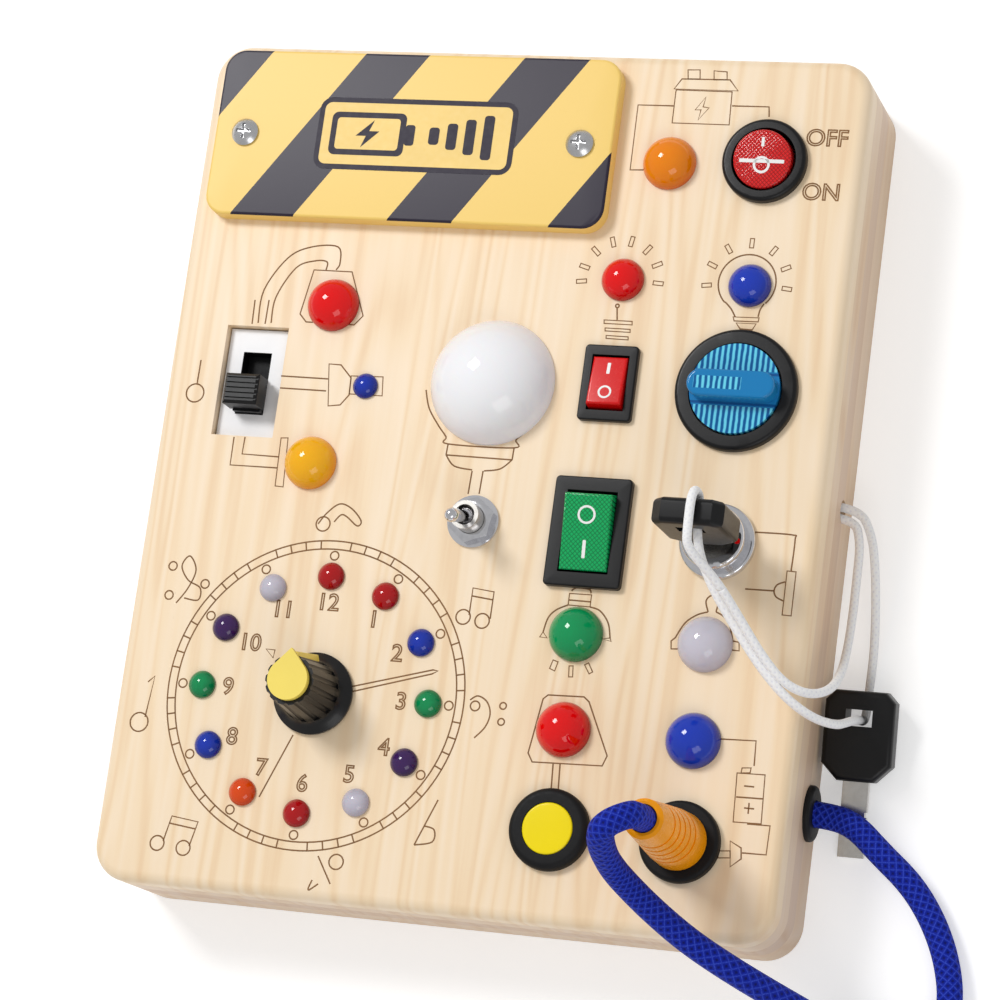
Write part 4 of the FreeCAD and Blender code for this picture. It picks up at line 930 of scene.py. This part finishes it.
def clockLines(given):
    x, y = (part * mm for part in given["centre"])
    made = [circlePoints((x, y), given[ring] * mm, steps=120) for ring in ("outer", "inner")]
    centre = Vector((x, y, 0))
    for tick in range(60):
        angle = math.radians(6 * tick)
        way = Vector((math.cos(angle), math.sin(angle), 0))
        if tick % 5:
            made.append([centre + way * given["inner"] * mm, centre + way * given["outer"] * mm])
        else:
            dot = (x + way.x * given["dots"] * mm, y + way.y * given["dots"] * mm)
            made.append(circlePoints(dot, given["dot"] * mm, steps=16))
    made += [
        onFace([(345, 688), (433, 670)]), onFace([(346, 693), (432, 674)]),
        onFace([(433, 670), (438, 671), (432, 674)]),
        onFace([(293, 735), (259, 797)]), loop([(266, 649), (275, 650), (273, 658)]),
    ]
    return made


drawings["clock_lines"] = clockLines(clockSet)
drawings["note_lines"] = [
    # single notes, pairs and clefs about the dial
    curve([(318, 524), (327, 513), (340, 504), (352, 509), (361, 521), (357, 526), (347, 517),
           (341, 515), (334, 522)]),
    ringAt((323, 524), 2.0 * mm),
    ringAt((463, 617), 2.0 * mm), ringAt((482, 621), 2.0 * mm),
    onFace([(469, 615), (473, 588), (494, 592), (490, 619)]), onFace([(472, 596), (493, 600)]),
    curve([(470, 700), (478, 696), (487, 702), (490, 714), (485, 727), (474, 738)]),
    ringAt((475, 706), 1.3 * mm),
    ringAt((503, 706), 0.9 * mm), ringAt((501, 722), 0.9 * mm),
    onFace([(438, 800), (414, 845)]), curve([(414, 845), (432, 842), (434, 830), (424, 826)]),
    curve([(318, 856), (330, 884)]), ringAt((336, 862), 2.0 * mm),
    curve([(318, 884), (308, 890), (312, 880)]),
    ringAt((157, 843), 2.0 * mm), ringAt((183, 848), 2.0 * mm),
    onFace([(163, 841), (172, 816), (198, 822), (189, 846)]), onFace([(169, 823), (195, 829)]),
    ringAt((139, 722), 2.6 * mm), onFace([(145, 717), (155, 676), (148, 682)]),
    curve([(176, 603), (188, 588), (196, 570), (190, 556), (182, 566), (188, 580), (200, 588),
           (198, 600), (184, 598)]),
    ringAt((173, 566), 1.2 * mm), ringAt((205, 584), 1.2 * mm), ringAt((169, 595), 1.2 * mm),
]
for name, strokes in drawings.items():
    addPiece(name, strokeMesh(strokes, lineWidth, lineZ), mats["burnt"], "board")

numeralPixels = {
    "12": (328, 603), "1": (373.5, 620), "2": (397, 654), "3": (401, 702), "4": (384, 748),
    "5": (349, 775), "6": (302, 784), "7": (261, 768), "8": (232, 737), "9": (228, 687),
    "10": (250, 643), "11": (283, 610),
}
numerals = [textStrokes(body, clockSet["numeralSize"] * mm, facePoint(pixel), lineZ, clockSet["outline"])
            for body, pixel in numeralPixels.items()]
addPiece("clock_numerals", joinMeshes(numerals), mats["burnt"], "board")
switchWords = {"OFF": (827, 139), "ON": (821, 193)}
words = [textStrokes(body, clockSet["numeralSize"] * mm, facePoint(pixel), lineZ, clockSet["outline"])
         for body, pixel in switchWords.items()]
addPiece("switch_words", joinMeshes(words), mats["burnt"], "board")
print("burnt lines drawn")

# generic badge on the striped plate
badgeSet = {
    "x": -30.5, "y": 92.5, "w": 58.0, "h": 21.0, "border": 1.5, "corner": 3.5,
    "cellX": -14.0, "cell": (22.0, 12.5, 1.8), "hollow": (18.6, 9.2, 1.0),
    "capX": -1.6, "cap": (2.8, 6.0, 0.8),
    "bars": 4, "barX": 5.5, "barPitch": 5.2, "barW": 3.0, "barH": 5.0, "barStep": 2.6, "barCorner": 0.9,
    "bolt": [(1.6, 4.0), (-3.4, -0.6), (-0.4, -0.6), (-1.6, -4.0), (3.4, 0.8), (0.4, 0.8)],
    "layers": (0.0, 0.06, 0.10, 0.14, 0.18, 0.22),
}
plateTop = faceZ + 4.8 * mm


def slab(cx, cy, w, h, radius, low, high):
    x, y, hw, hh = cx * mm, cy * mm, w * mm / 2, h * mm / 2
    corners = [(x - hw, y - hh), (x + hw, y - hh), (x + hw, y + hh), (x - hw, y + hh)]
    return flatMesh(corners, radius * mm, low, high)


def badgePieces(given):
    x, y, w, h, edge = (given[key] for key in ("x", "y", "w", "h", "border"))
    levels = [plateTop + layer * mm for layer in given["layers"]]
    cellX = x + given["cellX"]
    ink = [slab(x, y, w, h, given["corner"], levels[0], levels[1])]
    field = [slab(x, y, w - 2 * edge, h - 2 * edge, given["corner"] - edge, levels[1], levels[2])]
    ink.append(slab(cellX, y, *given["cell"], levels[2], levels[3]))
    ink.append(slab(x + given["capX"], y, *given["cap"], levels[2], levels[3]))
    field.append(slab(cellX, y, *given["hollow"], levels[3], levels[4]))
    for step in range(given["bars"]):
        barX = x + given["barX"] + given["barPitch"] * step
        barH = given["barH"] + given["barStep"] * step
        ink.append(slab(barX, y, given["barW"], barH, given["barCorner"], levels[2], levels[3]))
    bolt = [((cellX + a) * mm, (y + b) * mm) for a, b in given["bolt"]]
    ink.append(flatMesh(bolt, 0, levels[4], levels[5]))
    addPiece("plate_badge_ink", joinMeshes(ink), mats["plateInk"], "board")
    addPiece("plate_badge_field", joinMeshes(field), mats["plateYellow"], "board")


badgePieces(badgeSet)

# the slide switch's slot: a thin black tray in the white body, clear of the slider's stem, as painted
# shade for the inside of the slot
slotSet = {
    "x": -70.09, "y": 21.29, "w": 8.36, "h": 17.76, "wall": 0.1,
    "low": 27.6, "floor": 28.2, "high": 32.36,
}


def slotShadeTray(given):
    x, y, w, h, wall = (given[key] for key in ("x", "y", "w", "h", "wall"))
    low, floor, high = (given[key] * mm for key in ("low", "floor", "high"))
    parts = [slab(x, y, w, h, 0, low, floor)]
    for side in (-1, 1):
        parts.append(slab(x + side * (w - wall) / 2, y, wall, h, 0, floor, high))
        parts.append(slab(x, y + side * (h - wall) / 2, w - 2 * wall, wall, 0, floor, high))
    addPiece("slide_slot_shade", joinMeshes(parts), mats["blackSoft"], "board")


slotShadeTray(slotSet)

# marks on the rockers: a bar for on and a ring for off
rockerMarks = {
    "little_rocker": {"x": 33.0, "y": 26.0, "pivot": 35.6, "half": 2.5, "tilt": -9.0,
                      "bars": [(0, 3.4, 0.9, 3.2)], "rings": [(0, -3.5, 1.6, 0.55)]},
    "big_rocker": {"x": 33.0, "y": -15.2, "pivot": 35.8, "half": 3.5, "tilt": 9.0,
                   "bars": [(0, -4.6, 0.9, 4.8)], "rings": [(0, 4.6, 2.2, 0.6)]},
    "round_rocker": {"x": 68.3, "y": 90.0, "pivot": 36.2, "half": 3.2, "tilt": 9.0,
                     "bars": [(0, 4.6, 0.8, 2.6), (0, -0.6, 12.4, 1.0)], "rings": [(0, -1.6, 2.0, 0.7)]},
}
markRise, markCorner = 0.05 * mm, 0.2


def addMarks(body, given):
    parts = [slab(x, y, w, h, min(w, h) * markCorner, 0.0, markRise) for x, y, w, h in given["bars"]]
    parts += [ringMesh((x * mm, y * mm), r * mm, w * mm, 0.0, markRise) for x, y, r, w in given["rings"]]
    mesh = joinMeshes(parts)
    place = (Matrix.Translation((given["x"] * mm, given["y"] * mm, given["pivot"] * mm))
             @ Matrix.Rotation(math.radians(given["tilt"]), 4, "X")
             @ Matrix.Translation((0, 0, given["half"] * mm)))
    mesh.transform(place)
    addPiece(body + "_marks", mesh, mats["mark"], body)


for body, given in rockerMarks.items():
    addMarks(body, given)

# yellow pointer down the clock knob's side, and the lock's red dot
pointerSet = {
    "x": -37.8, "y": -64.5, "tip": 7.8, "foot": 10.2, "inside": 5.2, "w": 5.2, "taper": 0.35,
    "low": 38.4, "high": 54.6, "edge": 0.3,
}


def addPointer(given):
    # a wedge from the cap's tip down to the skirt
    bm = bmesh.new()
    bmesh.ops.create_cube(bm, size=1.0)
    for vert in bm.verts:
        top = vert.co.z > 0
        outer = vert.co.y > 0
        wide = (given["taper"] if outer else 1.0) * given["w"] / 2
        reach = (given["tip"] if top else given["foot"]) if outer else given["inside"]
        vert.co = Vector(((given["x"] + math.copysign(wide, vert.co.x)) * mm, (given["y"] + reach) * mm,
                          (given["high"] if top else given["low"]) * mm))
    bmesh.ops.bevel(bm, geom=list(bm.edges), offset=given["edge"] * mm, segments=2, affect="EDGES",
                    profile=0.5, material=-1)
    bmesh.ops.recalc_face_normals(bm, faces=bm.faces)
    mesh = bpy.data.meshes.new("pointer")
    bm.to_mesh(mesh)
    bm.free()
    addPiece("knob_pointer", mesh, mats["yellowCap"], "clock_knob")


addPointer(pointerSet)
lockDotSet = {"pixel": (737, 541), "w": 1.6, "corner": 0.75, "low": 42.0, "high": 42.12}


def addLockDot(given):
    low, high = given["low"] * mm, given["high"] * mm
    place = facePoint(given["pixel"], low)
    mesh = slab(place.x / mm, place.y / mm, given["w"], given["w"], given["corner"], low, high)
    addPiece("lock_dot", mesh, mats["redRocker"], "board")


addLockDot(lockDotSet)
print("marks and pointer made")

# floor and light
stageSet = {"floor": 6.0, "world": 0.5, "floorTone": 0.82, "floorGlow": 0.40}
lampSet = {
    "keySoftbox": {"place": (-0.85, 0.72, 1.5), "aim": (0, 0, 0), "size": (0.5, 0.5), "watts": 15.4},
    "sideSoftbox": {"place": (0.55, -0.85, 0.9), "aim": (0, -0.05, 0), "size": (0.7, 0.5), "watts": 2.4},
}


def whiteForCamera(tree, shader, surface, tone, strength):
    # the background stays white where the camera, gloss or glass sees it
    path = addNode(tree, "ShaderNodeLightPath")
    seen = calc(tree, "MAXIMUM", path.outputs["Is Camera Ray"], path.outputs["Is Glossy Ray"])
    seen = calc(tree, "MAXIMUM", seen, path.outputs["Is Transmission Ray"])
    glow = addNode(tree, "ShaderNodeEmission")
    glow.inputs["Color"].default_value = tone
    tree.links.new(calc(tree, "MULTIPLY", seen, strength), glow.inputs["Strength"])
    both = addNode(tree, "ShaderNodeAddShader")
    tree.links.new(shader, both.inputs[0])
    tree.links.new(glow.outputs[0], both.inputs[1])
    tree.links.new(both.outputs[0], surface)


def addFloor(given):
    bm = bmesh.new()
    bmesh.ops.create_grid(bm, x_segments=1, y_segments=1, size=given["floor"] / 2)
    mesh = bpy.data.meshes.new("floor")
    bm.to_mesh(mesh)
    bm.free()
    mat, tree, shader = newMaterial("paleFloor", 0.9)
    speck = noise(tree, objectCoords(tree), 30.0)
    tone = (given["floorTone"],) * 3 + (1.0,)
    colourFrom(tree, shader, ramp(tree, speck, [(0.0, tone), (1.0, tone)]))
    shader.inputs["Specular IOR Level"].default_value = 0.0
    surface = tree.nodes["Material Output"].inputs["Surface"]
    whiteForCamera(tree, shader.outputs[0], surface, (1, 1, 1, 1), given["floorGlow"])
    made = bpy.data.objects.new("floor", mesh)
    scene.collection.objects.link(made)
    mesh.materials.append(mat)


def addLamp(name, given):
    data = bpy.data.lights.new(name, "AREA")
    data.shape = "RECTANGLE"
    data.size, data.size_y = given["size"]
    data.energy = given["watts"]
    made = bpy.data.objects.new(name, data)
    scene.collection.objects.link(made)
    way = Vector(given["aim"]) - Vector(given["place"])
    turn = way.to_track_quat("-Z", "Y").to_matrix().to_4x4()
    made.matrix_world = Matrix.Translation(given["place"]) @ turn


addFloor(stageSet)
for name, given in lampSet.items():
    addLamp(name, given)
world = bpy.data.worlds.new("paleRoom")
world.use_nodes = True
world.node_tree.nodes["Background"].inputs["Color"].default_value = (1, 1, 1, 1)
world.node_tree.nodes["Background"].inputs["Strength"].default_value = stageSet["world"]
scene.world = world
scene.view_settings.view_transform = "Standard"
print("floor and light set")
